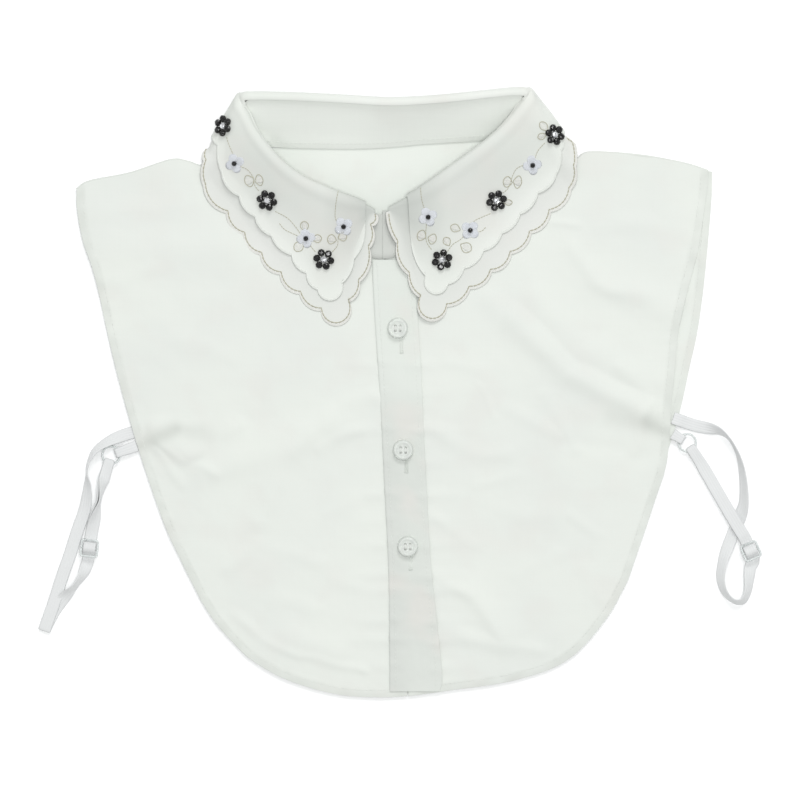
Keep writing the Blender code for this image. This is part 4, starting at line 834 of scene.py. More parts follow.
def fronts():
    made = {}
    for name, sections, shoulder, side, hem, sign in (
            ("front_right_cloth", RIGHT_LEAF, SHOULDER_RIGHT, SIDE_RIGHT, HEM_RIGHT, -1),
            ("front_left_cloth", LEFT_LEAF, SHOULDER_LEFT[::-1], SIDE_LEFT, HEM_LEFT, 1)):
        panel, edge, outline = front_panel(name, sections, shoulder, side, hem, sign)
        stitches = hem_stitches(name.replace("cloth", "hem_stitches"), edge, front_height, -sign,
                                SHELL / 2 + 0.02)
        made[name] = panel
    return made


def back_height(points):
    """The back panel lies on the table, with faint swells."""
    return BACK_MIDDLE + 0.08 + 0.08 * ripple(points, 30.0, 11.0)


def back_panel():
    top = np.vstack([spaced(through(SHOULDER_RIGHT, 12), 44), spaced(through(BACK_NECK, 12), 66)[1:],
                     spaced(through(SHOULDER_LEFT, 12), 44)[1:]])
    top[0], top[-1] = BACK_SIDE_RIGHT[0], BACK_SIDE_LEFT[0]
    bottom = spaced(through(BACK_HEM, 12), len(top) - 1)
    left = spaced(through(BACK_SIDE_RIGHT, 12), 130)
    right = spaced(through(BACK_SIDE_LEFT, 12), 130)
    flat = patch(top, bottom, left, right)
    points = flat.reshape(-1, 2)
    edge = np.vstack([left, bottom[1:], right[::-1][1:]])
    relief, band, _ = hem_relief(points, edge_distance(points, edge[::3]))
    height = back_height(points) + np.maximum(relief, -0.05) * 0.6
    grid = np.concatenate([flat, height.reshape(*flat.shape[:2], 1)], axis=2)
    made = cloth("back_panel_cloth", grid, SHELL, BACK, band)
    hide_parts("back_panel")
    stitches = hem_stitches("back_panel_hem_stitches", edge, back_height, 1, SHELL / 2 + 0.02)


def shoulder_seams():
    """Each shoulder seam: the rolled edge that joins a front to the back."""
    for name, line in (("shoulder_seam_right", SHOULDER_RIGHT), ("shoulder_seam_left", SHOULDER_LEFT)):
        run = spaced(through(line, 12), 160)
        along = np.gradient(run, axis=0)
        along /= np.linalg.norm(along, axis=1)[:, None]
        out = np.stack([-along[:, 1], along[:, 0]], 1)
        middle = (BACK_MIDDLE + FRONT_MIDDLE) / 2 + 0.04
        half = (FRONT_MIDDLE - BACK_MIDDLE) / 2
        rows = []
        for angle in np.radians(np.linspace(-100, 100, 9)):
            flat = run + out * (0.75 * math.cos(angle))
            rows.append(np.column_stack([flat, np.full(len(run), middle + half * math.sin(angle))]))
        cloth(name, np.array(rows), SHELL * 0.8, PANEL, np.full((9, len(run)), 0.4))


# Placket
def placket_grid():
    """The placket, drawn up at its puckers, with its edges let down, and how much deeper its tone is: more
    towards the bottom and towards its left edge.
    """
    edges = spaced(through(PLACKET, 12), 260)
    shares = np.concatenate([[0, 0.008, 0.018, 0.034], np.linspace(0.055, 0.945, 31),
                             [0.966, 0.982, 0.992, 1]])
    grid = np.empty((len(edges), len(shares), 3))
    for column, share in enumerate(shares):
        x = edges[:, 1] * (1 - share) + edges[:, 2] * share
        grid[:, column, 0], grid[:, column, 1] = x, edges[:, 0]
    points = grid[:, :, :2].reshape(-1, 2)
    side = np.abs(shares - 0.5) * 2
    width = (edges[:, 2] - edges[:, 1])[:, None] / 2
    from_edge = width * (1 - side)[None]
    lower = np.clip((20.0 - grid[:, :, 1]) / 60.0, 0, 1)
    height = (0.08 + 0.16 * lower) * ripple(points, 9.0, 21.0).reshape(grid.shape[:2])
    height += 0.12 * lower * ripple(points, 4.0, 24.0).reshape(grid.shape[:2])
    for y, reach, tall in PUCKERS:
        slant = grid[:, :, 1] - y + 0.12 * (grid[:, :, 0] - 6.0)
        wave = np.exp(-(slant / 2.6) ** 2) * np.exp(-(from_edge / (reach * 0.45)) ** 2)
        height += tall * wave
    height -= 0.14 * np.exp(-((from_edge - 2.2) / 0.6) ** 2)
    height = np.clip(height, -0.25, 0.7)
    height -= 0.35 * np.clip(1 - from_edge / 0.8, 0, 1) ** 2
    grid[:, :, 2] = PLACKET_MIDDLE + height
    to_left = np.clip(1 - shares / 0.5, 0, 1)[None]
    return grid, 0.34 * lower + 0.3 * to_left * (0.4 + 0.6 * lower)


def placket():
    grid, deeper_tone_and_painted_shade = placket_grid()
    made = cloth("placket_cloth", grid, PLACKET_SHELL, PLACKET_CLOTH, deeper_tone_and_painted_shade)
    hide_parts("placket")
    stitches = []
    for column in (6, len(grid[0]) - 7):
        line = grid[2:-2, column].copy()
        up = np.tile(UP, (len(line), 1))
        stitches += stitch_paths(line, up, STITCH_LENGTH, 0.5, STITCH_RADIUS, PLACKET_SHELL / 2)
    sewn = tubes("placket_stitches", stitches, WHITE_THREAD)
    holes = buttonholes()


def buttonholes():
    """Each buttonhole: two rows of close stitches with a bar at each end."""
    paths = []
    top = PLACKET_MIDDLE + PLACKET_SHELL / 2
    side_stitch = ((0.12, -0.08), (0.3, 0.05), (0.85, 0.06), (1.1, -0.08))
    bar_stitch = ((-1.15, -0.08), (-0.7, 0.09), (0.7, 0.09), (1.15, -0.08))
    for x, y in BUTTONHOLES:
        for level in np.linspace(y - BUTTONHOLE_HALF, y + BUTTONHOLE_HALF, 36):
            for side in (-1, 1):
                line = [(x + side * reach, level, top + lift) for reach, lift in side_stitch]
                paths.append((line, BUTTONHOLE_THREAD, UP))
        for end in (-1, 1):
            for step in range(4):
                level = y + end * (BUTTONHOLE_HALF + 0.1 + step * 0.3)
                line = [(x + reach, level, top + lift) for reach, lift in bar_stitch]
                paths.append((line, BUTTONHOLE_THREAD, UP))
    return tubes("buttonhole_stitches", paths, PLACKET_THREAD)


def turned_button():
    """A shirt button turned from its section, with a raised rim and four holes."""
    profile = [(0.0, 0.0), (4.4, 0.0), (5.2, 0.25), (5.65, 0.8), (5.75, 1.2), (5.6, 1.7), (5.2, 2.05),
               (4.7, 2.2), (4.2, 2.16), (3.7, 1.98), (3.2, 1.84), (2.8, 1.8), (0.0, 1.8)]
    shape = bmesh.new()
    steps = 64
    rings = []
    for radius, height in profile[1:-1]:
        rings.append([shape.verts.new((radius * math.cos(math.tau * step / steps),
                                       radius * math.sin(math.tau * step / steps), height))
                      for step in range(steps)])
    for lower, upper in zip(rings, rings[1:]):
        for step in range(steps):
            following = (step + 1) % steps
            shape.faces.new((lower[step], lower[following], upper[following], upper[step]))
    shape.faces.new(rings[0][::-1])
    shape.faces.new(rings[-1])
    body = bpy.data.meshes.new("button_body")
    shape.to_mesh(body)
    shape.free()
    holes = bmesh.new()
    for quarter in range(4):
        angle = math.radians(45 + 90 * quarter)
        place = Matrix.Translation((HOLE_CIRCLE * math.cos(angle), HOLE_CIRCLE * math.sin(angle), 0.7))
        bmesh.ops.create_cone(holes, cap_ends=True, segments=20, radius1=HOLE_RADIUS,
                              radius2=HOLE_RADIUS, depth=6, matrix=place)
    drill = bpy.data.meshes.new("button_drill")
    holes.to_mesh(drill)
    holes.free()
    thing = bpy.data.objects.new("button_body", body)
    tool = bpy.data.objects.new("button_drill", drill)
    for one in (thing, tool):
        bpy.context.scene.collection.objects.link(one)
    cut = thing.modifiers.new("holes", "BOOLEAN")
    cut.operation = "DIFFERENCE"
    cut.object = tool
    bpy.context.view_layer.update()
    graph = bpy.context.evaluated_depsgraph_get()
    made = bpy.data.meshes.new_from_object(thing.evaluated_get(graph))
    bpy.data.objects.remove(thing)
    bpy.data.objects.remove(tool)
    return made


def buttons():
    body = turned_button()
    points = np.array([vertex.co for vertex in body.vertices])
    faces = [tuple(face.vertices) for face in body.polygons]
    for number, (x, y) in enumerate(BUTTONS, start=1):
        place = np.array([x, y, BUTTON_LOW])
        button = mesh_object(f"shirt_button_{number}", points + place, faces, BUTTON)
        button.data.set_sharp_from_angle(angle=math.radians(40))
        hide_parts(f"button_{number}")
        paths = []
        for side in (-1, 1):
            reach = HOLE_CIRCLE / math.sqrt(2)
            for strand in (-0.28, 0.0, 0.28):
                line = [(x + side * reach + strand * 0.6, y - reach, BUTTON_LOW + 0.9),
                        (x + side * reach + strand, y - reach * 0.72, BUTTON_LOW + 1.85),
                        (x + side * reach + strand, y, BUTTON_LOW + 2.0),
                        (x + side * reach + strand, y + reach * 0.72, BUTTON_LOW + 1.85),
                        (x + side * reach + strand * 0.6, y + reach, BUTTON_LOW + 0.9)]
                paths.append((smooth(line, 3), 0.19, np.array([1.0, 0.0, 0.2])))
        shank = [(x, y, BUTTON_LOW - 0.8), (x, y, BUTTON_LOW + 1.2)]
        paths.append((shank, 2.75, np.array([1.0, 0.0, 0.0])))
        tubes(f"button_thread_{number}", paths, WHITE_THREAD, sides=7)


# Collar leaf
def fall(share):
    return (1 - min(share, 1.0)) ** FALL_POWER


def front_profile(fold_z, edge_z, length, fall_length, upper):
    """Distance and height of the points of a front section: round the fold, then down to the edge."""
    centre = FOLD_INSET + FOLD_RADIUS
    rows = []
    if not upper:
        rows.append((centre + SEAM_LENGTH, fold_z - 2 * FOLD_RADIUS))
    for angle in (-24, -16, -8, 0, 45, 90) if upper else (-90, -45, 0, 45, 90):
        turn = math.radians(angle)
        rows.append((centre - FOLD_RADIUS * math.cos(turn),
                     fold_z - FOLD_RADIUS + FOLD_RADIUS * math.sin(turn)))
    open_length = length - centre
    inner = min(INNER_LINE, 0.25 * open_length)
    for distance in [centre + (open_length - inner) * share for share in (0.12, 0.3, 0.6, 1.0)] + [length]:
        rows.append((distance, edge_z + (fold_z - edge_z)
                     * fall((distance - centre) / (fall_length - centre))))
    return rows


def back_profile(fold_z, edge_z, length):
    """The same for a section behind the neck, where the leaf is tucked under the stack."""
    inset = FOLD_INSET
    open_length = length - inset - 2.5
    inner = min(INNER_LINE, 0.25 * open_length)
    return [(inset + 2.6, fold_z - 0.25), (inset + 2.3, fold_z - 0.1), (inset + 1.8, fold_z),
            (inset + 0.8, fold_z - 0.7), (inset, fold_z - 3.2), (inset, 0.5 * fold_z),
            (inset + 0.6, edge_z + 1.6), (inset + 2.5, edge_z),
            (length - inner - 0.45 * (open_length - inner), edge_z), (length - inner, edge_z),
            (length, edge_z)]


def shortened(profile, length):
    """A section's profile cut back to the upper layer's length."""
    distances = [distance for distance, _ in profile]
    inner = min(INNER_LINE, 0.25 * (length - distances[5]))
    distances[-2:] = [length - inner, length]
    distances[-3] = min(distances[-3], 0.5 * (distances[-4] + distances[-2]))
    line = np.array(profile[5:])
    heights = [height for _, height in profile[:6]]
    heights += list(np.interp(distances[6:], line[:, 0], line[:, 1]))
    return list(zip(distances, heights))


def section_points(section, behind, upper):
    """The points of one section of the leaf, from its seam over the fold to its edge."""
    fold = np.array(section[0:2], float)
    neck = np.array(section[3:5], float)
    edge = np.array(section[5:7], float)
    length = np.linalg.norm(edge - fold)
    if behind:
        profile = back_profile(section[2], section[7], length)
        shares = (0, 0, 0.1, 0.3, 0.5, 0.7, 1, 1, 1, 1, 1)
    else:
        profile = front_profile(section[2], section[7], length, section[10], upper)
        shares = (0, 0, 0.15, 0.5, 0.85, 1, 1, 1, 1, 1, 1)
    if upper:
        upper_edge = np.array(section[8:10], float)
        profile = shortened(profile, np.linalg.norm(upper_edge - fold))
    points = []
    for (distance, height), share in zip(profile, shares):
        heading = unit((1 - share) * unit(neck - fold) + share * unit(edge - fold))
        flat = fold + heading * distance
        points.append((flat[0], flat[1], height))
    points = np.array(points)
    if upper:
        inward = unit(points[-3, :2] - upper_edge)
        points[-2, :2] = upper_edge + inward * (profile[-1][0] - profile[-2][0])
        points[-1, :2] = upper_edge
    return points


def crease_sections(front, back, sign):
    """The rounded side edge, where the leaf turns from the top of the stack to its underside."""
    along = unit(front[-1, :2] - front[3, :2])
    outward = np.array([-along[1], along[0]]) * -sign
    sections = []
    for angle in (36, 72, 108, 144):
        turn = math.radians(angle)
        share = (1 - math.cos(turn)) / 2
        section = (1 - share) * front + share * back
        push = np.minimum(np.abs(front[:, 2] - back[:, 2]) / 2, CREASE_REACH) * math.sin(turn)
        section[:, :2] += push[:, None] * outward
        sections.append(section)
    return sections


def edge_shift(ends, amount):
    """The step that moves the edge outward, square to its run."""
    steps = np.diff(ends[:, :2], axis=0)
    steps /= np.linalg.norm(steps, axis=1)[:, None]
    steps = np.vstack([steps[:1], steps, steps[-1:]])
    along = steps[:-1] + steps[1:]
    along /= np.linalg.norm(along, axis=1)[:, None]
    return np.stack([-along[:, 1], along[:, 0], 0 * along[:, 0]], 1) * amount


def with_edge(sections, upper):
    return [section for section in sections if section[8] is not None or not upper]


def leaf_sections(upper):
    """All sections of the leaf, from its front end on the left as seen, round the back, to the right."""
    runs = []
    for table, behind in ((RIGHT_LEAF, False), (BACK_LEAF, True), (LEFT_LEAF[::-1], False)):
        run = np.array([section_points(section, behind, upper) for section in with_edge(table, upper)])
        if not upper:
            run[:, -1] += edge_shift(run[:, -1], EDGE_MARGIN)
        runs.append(run)
    first, behind, last = runs
    sections = np.array([*first, *crease_sections(first[-1], behind[0], 1), *behind,
                         *crease_sections(last[0], behind[-1], -1)[::-1], *last])
    if not upper:
        return sections
    face = np.cross(np.gradient(sections, axis=0), np.gradient(sections, axis=1))
    sections = sections + face / np.linalg.norm(face, axis=2)[:, :, None] * LEAF_STEP
    sections[:, :, 2] = np.maximum(sections[:, :, 2], CLOTH / 2)
    return sections


def scallop_depths(upper):
    """The depth of the scallop between each section and the next, none at the side creases."""
    scale = UPPER_SCALLOP if upper else 1.0
    right, behind, left = [[section[11] * scale for section in with_edge(table, upper)]
                           for table in (RIGHT_LEAF, BACK_LEAF, LEFT_LEAF)]
    return right[:-1] + [0.0] * 5 + behind[:-1] + [0.0] * 5 + left[:-1][::-1]


def scallop(start, end, depth, steps):
    """The points from one cusp up to the next, on an arc of a circle of the given depth."""
    chord = end - start
    length = math.hypot(chord[0], chord[1])
    if depth == 0:
        return [start + chord * step / steps for step in range(steps)]
    outward = np.array([-chord[1], chord[0], 0.0]) / length
    radius = (length ** 2 / 4 + depth ** 2) / (2 * depth)
    half = math.asin(min(1.0, length / 2 / radius))
    if depth > radius:
        half = math.pi - half
    middle = (start + end) / 2 + outward * (depth - radius)
    arc = []
    for step in range(steps):
        angle = -half + 2 * half * step / steps
        point = middle + radius * (math.sin(angle) * chord / length + math.cos(angle) * outward)
        point[2] = start[2] + (end[2] - start[2]) * step / steps
        arc.append(point)
    return arc


def leaf_grid(upper):
    """The fine grid of one layer of the leaf, its rows running from the seam to the scalloped edge."""
    sections = leaf_sections(upper)
    depths = scallop_depths(upper)
    counts = [22 if depth > 6 else 10 if depth else 4 for depth in depths]
    columns = smooth(sections, counts)
    body = smooth(columns[:, :-1].transpose(1, 0, 2), [3, 3, 3, 3, 3, 4, 6, 8, 9])
    edge = []
    for index, depth in enumerate(depths):
        edge += scallop(sections[index, -1], sections[index + 1, -1], depth, counts[index])
    edge = np.array(edge + [sections[-1, -1]])
    rim = [body[-1] + (edge - body[-1]) * share for share in np.linspace(0, 1, 9)[1:]]
    grid = np.concatenate([body, np.array(rim)]).transpose(1, 0, 2)
    lift = ripple(grid[:, :, :2].reshape(-1, 2), 24.0, 31.0).reshape(grid.shape[:2])
    outer = np.linspace(0, 1, grid.shape[1])[None] ** 2
    grid[:, :, 2] += 0.25 * np.abs(lift) * outer + 0.1 * lift
    behind = np.zeros(len(grid))
    first = sum(counts[:len(with_edge(RIGHT_LEAF, upper)) + 3])
    behind[first:len(grid) - sum(counts[-len(with_edge(LEFT_LEAF, upper)) - 2:])] = 1
    rest = LEAF_REST + (LEAF_STEP if upper else 0.0)
    near_rest = np.clip((rest + 1.3 - grid[:, -1, 2]) / 1.1, 0, 1) * (1 - behind)
    near_rest = np.convolve(np.pad(near_rest, 6, mode="edge"), np.ones(13) / 13, mode="valid")
    let_down = 0.7 * near_rest + (UPPER_LET_DOWN * (1 - behind) if upper else 0.0)
    from_fold = np.clip((np.linspace(0, 1, grid.shape[1]) - 0.45) / 0.35, 0, 1) ** 1.3
    grid[:, :, 2] -= let_down[:, None] * from_fold[None]
    low = TUCK_HEIGHT if not upper else CLOTH / 2
    grid[:, :, 2] = np.maximum(grid[:, :, 2], low)
    return grid


def edge_satin(name, grid, width, material):
    """Close satin stitches that wrap the leaf's scalloped edge."""
    normals = face_normals(grid)
    sign = 1.0 if normals[: len(normals) // 6, -8, 2].mean() > 0 else -1.0
    edge, inner, up = grid[:, -1], grid[:, -9], normals[:, -3] * sign
    inward = inner - edge
    inward /= np.linalg.norm(inward, axis=1)[:, None]
    steps = np.concatenate([[0], np.cumsum(np.linalg.norm(np.diff(edge, axis=0), axis=1))])
    paths = []
    for wanted in np.arange(0.2, steps[-1] - 0.2, SATIN_PITCH):
        place, into, over = [np.array([np.interp(wanted, steps, rows[:, axis]) for axis in range(3)])
                             for rows in (edge, inward, up)]
        line = [place + into * width + over * 0.1, place + into * width * 0.72 + over * 0.21,
                place + into * 0.18 + over * 0.18, place - into * 0.08 + over * 0.02,
                place + into * 0.15 - over * 0.2, place + into * width * 0.9 - over * 0.14]
        paths.append((np.array(line), SATIN_RADIUS, np.cross(into, over)))
    return tubes(name, paths, material, sides=4)


def leaf_line(grid, inside):
    """A line on the leaf's outer face at a distance from its edge, with the normals along it."""
    normals = face_normals(grid)
    sign = 1.0 if normals[: len(normals) // 6, -8, 2].mean() > 0 else -1.0
    edge, inner = grid[:, -1], grid[:, -9]
    inward = inner - edge
    inward /= np.linalg.norm(inward, axis=1)[:, None]
    return edge + inward * inside, normals[:, -4] * sign


def leaf(upper):
    """One layer of the leaf with its satin edge, and the lower one with its gold line.

    Painted shade is deepest near the fold and at the two front ends, with a narrow band along the fold,
    and leaves the back plain.
    """
    name = "collar_upper" if upper else "collar_under"
    grid = leaf_grid(upper)
    from_fold = np.linspace(0, 1, grid.shape[1])
    # Painted shade: where the leaf slopes down from the fold, along the fold, and deepest at the shaded
    # front ends, fading out behind the neck.
    front_end_shade = np.clip((36 - np.abs(grid[:, :, 0] + 7.0)) / 22, 0, 1)
    front_end_shade *= np.clip((grid[:, :, 1] - 60.0) / 24, 0, 1)
    leaf_painted_shade = np.clip((0.95 - from_fold) / 0.45, 0, 1)[None] * (0.36 + 0.6 * front_end_shade)
    leaf_painted_shade += 0.3 * np.exp(-(from_fold / 0.06) ** 2)[None] * (1 - front_end_shade)
    leaf_painted_shade = leaf_painted_shade * np.clip((162 - grid[:, :, 1]) / 34, 0, 1)
    made = cloth(f"{name}_cloth", grid, LEAF_SHELL, UPPER if upper else UNDER, leaf_painted_shade)
    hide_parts(name)
    width, satin = (1.6, SATIN_EDGE) if upper else (1.4, SATIN)
    pieces = [edge_satin(f"{name}_satin_edge", grid, width, satin)]
    if not upper:
        line, up = leaf_line(grid, EDGE_MARGIN - 0.1)
        stitches = stitch_paths(line, up, 2.3, 0.02, 0.3, LEAF_SHELL / 2 + 0.1)
        pieces.append(tubes("gold_running_line", stitches, GOLD, sides=6))
    return grid


# Stand
def stand_section(section, behind, slant):
    fold = np.array(section[0:2], float)
    neck = np.array(section[3:5], float)
    heading = unit(neck - fold)
    length = np.linalg.norm(neck - fold)
    if behind:
        at_side = section in (BACK_LEAF[0], BACK_LEAF[-1])
        top_distance = FOLD_INSET + (4.2 if at_side else 2.4) - 0.6 / slant
        top_z = section[2] - (1.25 if at_side else 0.1)
        foot_z, end_z = (2.9, 2.15) if at_side else (1.55, 1.35)
    else:
        top_distance = FOLD_INSET + FOLD_RADIUS + SEAM_LENGTH - 0.4 / slant
        top_z, foot_z, end_z = section[2] - 2 * FOLD_RADIUS - 0.1, 2.85, 2.6
    points = []
    for share in (0, 0.35, 0.7, 1.0):
        flat = fold + heading * (top_distance + (length - top_distance) * share)
        points.append((flat[0], flat[1], top_z + (foot_z - top_z) * share))
    flat = fold + heading * (length + 0.25)
    points.append((flat[0], flat[1], end_z))
    return np.array(points)


def collar_stand():
    """The stand round the neck, its two ends lapped over each other in front."""
    tables = ((RIGHT_LEAF, False), (BACK_LEAF, True), (LEFT_LEAF[::-1], False))
    listed = [(section, behind) for table, behind in tables for section in table]
    folds = np.array([section[0:2] for section, _ in listed], float)
    runs = np.gradient(folds, axis=0)
    runs /= np.linalg.norm(runs, axis=1)[:, None]
    rows = []
    for (section, behind), along in zip(listed, runs):
        heading = unit(np.array(section[3:5]) - np.array(section[0:2]))
        slant = max(abs(heading[0] * along[1] - heading[1] * along[0]), 0.3)
        rows.append(stand_section(section, behind, slant))
    right_end, left_end = rows[0].copy(), rows[-1].copy()
    right_end[:, 0] = CENTRE_X + 2.0
    right_end[:, 2] -= 0.45
    left_end[:, 0] = CENTRE_X - 1.3
    left_end[:, 2] += 0.55
    last_right, first_left = len(RIGHT_LEAF), len(RIGHT_LEAF) + len(BACK_LEAF)
    bulge = np.array([1.2, 1.1, 1.0, 1.0, 1.0])[:, None]
    corner_right = (rows[last_right - 1] + rows[last_right]) / 2 + bulge * np.array([-1.6, 0.4, 0.0])
    corner_left = (rows[first_left - 1] + rows[first_left]) / 2 + bulge * np.array([1.4, 0.6, 0.0])
    sections = np.array([right_end, *rows[:last_right], corner_right, *rows[last_right:first_left],
                         corner_left, *rows[first_left:], left_end])
    grid = smooth(smooth(sections, 5).transpose(1, 0, 2), [6, 6, 6, 3]).transpose(1, 0, 2)
    swells = ripple(grid[:, :, :2].reshape(-1, 2), 17.0, 43.0).reshape(grid.shape[:2])
    grid[:, :, 2] += 0.12 * swells
    # Painted shade on the stand's two front ends, in the hollow between the ends of the leaf.
    front_end_shade = np.clip((34 - np.abs(grid[:, :, 0] + 7.0)) / 20, 0, 1) * (grid[:, :, 1] < 112)
    made = cloth("collar_stand_cloth", grid, STAND_SHELL, STAND, front_end_shade)
    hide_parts("collar_stand")
    line = grid[4:-4, 16].copy()
    normals = face_normals(grid)[4:-4, 16]
    normals *= np.sign((normals[:, 2] + 1e-6))[:, None]
    stitches = stitch_paths(line, normals, STITCH_LENGTH, 0.5, STITCH_RADIUS, STAND_SHELL / 2)
    sewn = tubes("stand_stitches", stitches, WHITE_THREAD)


# Thread work and stones on the upper leaf
class OuterFace:
    """The outer face of the upper leaf, to lay threads and stones on."""

    def __init__(self, grid):
        rows, columns = grid.shape[:2]
        self.tree = BVHTree.FromPolygons([Vector(point) for point in grid.reshape(-1, 3)],
                                         grid_faces(rows, columns))

    def below(self, x, y, height=40.0):
        if height < 20:
            spot, normal = self.tree.find_nearest(Vector((x, y, height)))[:2]
            outward = Vector((x, y, height)) - spot
            return spot, normal if normal.dot(outward) > 0 else -normal
        spot, normal = self.tree.ray_cast(Vector((x, y, height)), Vector((0, 0, -1)))[:2]
        if spot is None:
            spot, normal = self.tree.find_nearest(Vector((x, y, 8.0)))[:2]
        return spot, normal if normal.z > 0 else -normal

    def laid(self, line, lift):
        """A flat line laid on the cloth: its points and the normals under them."""
        points, normals = [], []
        for x, y in line:
            spot, normal = self.below(x, y)
            points.append(spot + normal * lift)
            normals.append(normal)
        return np.array(points), np.array(normals)


def stems(face):
    paths = []
    for route in STEMS:
        line = through(route, 10)
        points, normals = face.laid(line, LEAF_SHELL / 2)
        paths += stitch_paths(points, normals, 1.5, 0.12, 0.2, 0.05)
    return tubes("gold_stems", paths, GOLD, sides=5)


def loops(face):
    """The wing-like loops: each a closed outline, narrow at one end."""
    outlines, fills = [], []
    for x, y, length, width, direction in LOOPS:
        ahead, across = flat_axes(direction)
        ring = []
        for angle in np.linspace(0, math.tau, 27):
            reach = math.cos(angle)
            narrow = 1 - 0.45 * (reach + 1) / 2 - 0.18 * math.cos(2 * angle)
            ring.append(np.array([x, y]) + ahead * reach * length / 2
                        + across * math.sin(angle) * width / 2 * narrow * 1.15)
        points, normals = face.laid(ring, LEAF_SHELL / 2 + 0.16)
        outlines.append((points, 0.2, normals))
        for share in np.linspace(-0.72, 0.56, 9):
            half = width / 2 * (1 - 0.45 * (share + 1) / 2) * math.sqrt(1 - share ** 2) * 0.86
            middle = np.array([x, y]) + ahead * share * length / 2
            line = [middle + across * half * side for side in (-1, -0.5, 0, 0.5, 1)]
            points, normals = face.laid(line, LEAF_SHELL / 2 - 0.02)
            fills.append((points, 0.18, normals))
    return [tubes("gold_loops", outlines, GOLD, sides=6),
            tubes("loop_fillings", fills, SATIN, sides=4)]


def satin_flowers(face):
    """Four round petals of satin stitch about a faceted bead."""
    paths = []
    shares = np.linspace(-1, 1, 6)
    for x, y, turn in SATIN_FLOWERS:
        for petal in range(4):
            ahead, across = flat_axes(turn + 90 * petal)
            for strand in np.linspace(-1, 1, 15):
                half = math.sqrt(max(1 - (strand * 0.97) ** 2, 0.0))
                line = [np.array([x, y]) + ahead * (PETAL_MIDDLE + share * half * PETAL_HALF_LENGTH)
                        + across * strand * PETAL_HALF_WIDTH for share in shares]
                points, normals = face.laid(line, LEAF_SHELL / 2)
                dome = (0.08 + 0.26 * half) * (1 - 0.75 * shares ** 4)
                points += normals * dome[:, None]
                paths.append((points, 0.2, normals))
    return tubes("satin_flowers", paths, PETAL, sides=4)


def faceted_bead(radius):
    """A small round bead with three rows of flat facets and a flat cap at each end."""
    rings = [(0.35, 0.86), (0.8, 0.52), (1.0, 0.0), (0.8, -0.52), (0.35, -0.86)]
    points, faces = [], []
    sides = 9
    for row, (reach, height) in enumerate(rings):
        for side in range(sides):
            angle = math.tau * (side + 0.5 * (row % 2)) / sides
            points.append((reach * radius * math.cos(angle), reach * radius * math.sin(angle),
                           height * radius))
    for row in range(len(rings) - 1):
        for side in range(sides):
            following = (side + 1) % sides
            low, high = row * sides, (row + 1) * sides
            a, b = low + side, low + following
            c, d = high + side, high + following
            if row % 2 == 0:
                faces += [(a, b, c), (b, d, c)]
            else:
                faces += [(a, b, d), (a, d, c)]
    faces.append(tuple(range(sides)))
    faces.append(tuple(range(len(points) - sides, len(points)))[::-1])
    return np.array(points), faces


def beads(face):
    shape, shape_faces = faceted_bead(BEAD_RADIUS)
    points, faces = [], []
    for x, y, turn in SATIN_FLOWERS:
        spot, normal = face.below(x, y)
        tilt = Matrix.Rotation(math.radians(turn + 35), 3, "X")
        facing = normal.to_track_quat("Z", "Y").to_matrix() @ tilt
        start = len(points)
        lift = spot + normal * (LEAF_SHELL / 2 + 1.25)
        points += [tuple(facing @ Vector(point) + lift) for point in shape]
        faces += [tuple(start + index for index in one) for one in shape_faces]
    return mesh_object("faceted_beads", points, faces, BLACK_STONE, flat=True)


def cut_stone_shape(radius, height, sides=8):
    """A stone cut with a table, a row of kite facets and a row of girdle facets."""
    rows = [(0.94, 0.0, 0.0), (1.0, 0.30, 0.0), (0.84, 0.68, 0.5), (0.52, 1.0, 0.0)]
    points = []
    for reach, level, shift in rows:
        for side in range(sides):
            angle = math.tau * (side + shift) / sides
            points.append((reach * radius * math.cos(angle), reach * radius * math.sin(angle),
                           level * height))
    faces = [tuple(range(sides))[::-1]]
    for side in range(sides):
        following = (side + 1) % sides
        before = (side - 1) % sides
        faces.append((side, following, sides + following, sides + side))
        faces.append((sides + side, sides + following, 2 * sides + side))
        faces.append((sides + side, 2 * sides + side, 3 * sides + side, 2 * sides + before))
        faces.append((2 * sides + side, 3 * sides + following, 3 * sides + side))
    faces.append(tuple(range(3 * sides, 4 * sides)))
    return np.array(points), faces


def seat_height(face, spot, facing, normal):
    """How far a flower is lifted so that the rim of its backing clears the curved cloth."""
    highest = 0.0
    for step in range(12):
        angle = math.radians(30 * step)
        rim = facing @ Vector((BACKING_RADIUS * math.cos(angle), BACKING_RADIUS * math.sin(angle), 0))
        hit = face.tree.ray_cast(spot + rim + normal * 4.0, -normal)[0]
        if hit is not None:
            highest = max(highest, (hit - spot).dot(normal))
    return highest


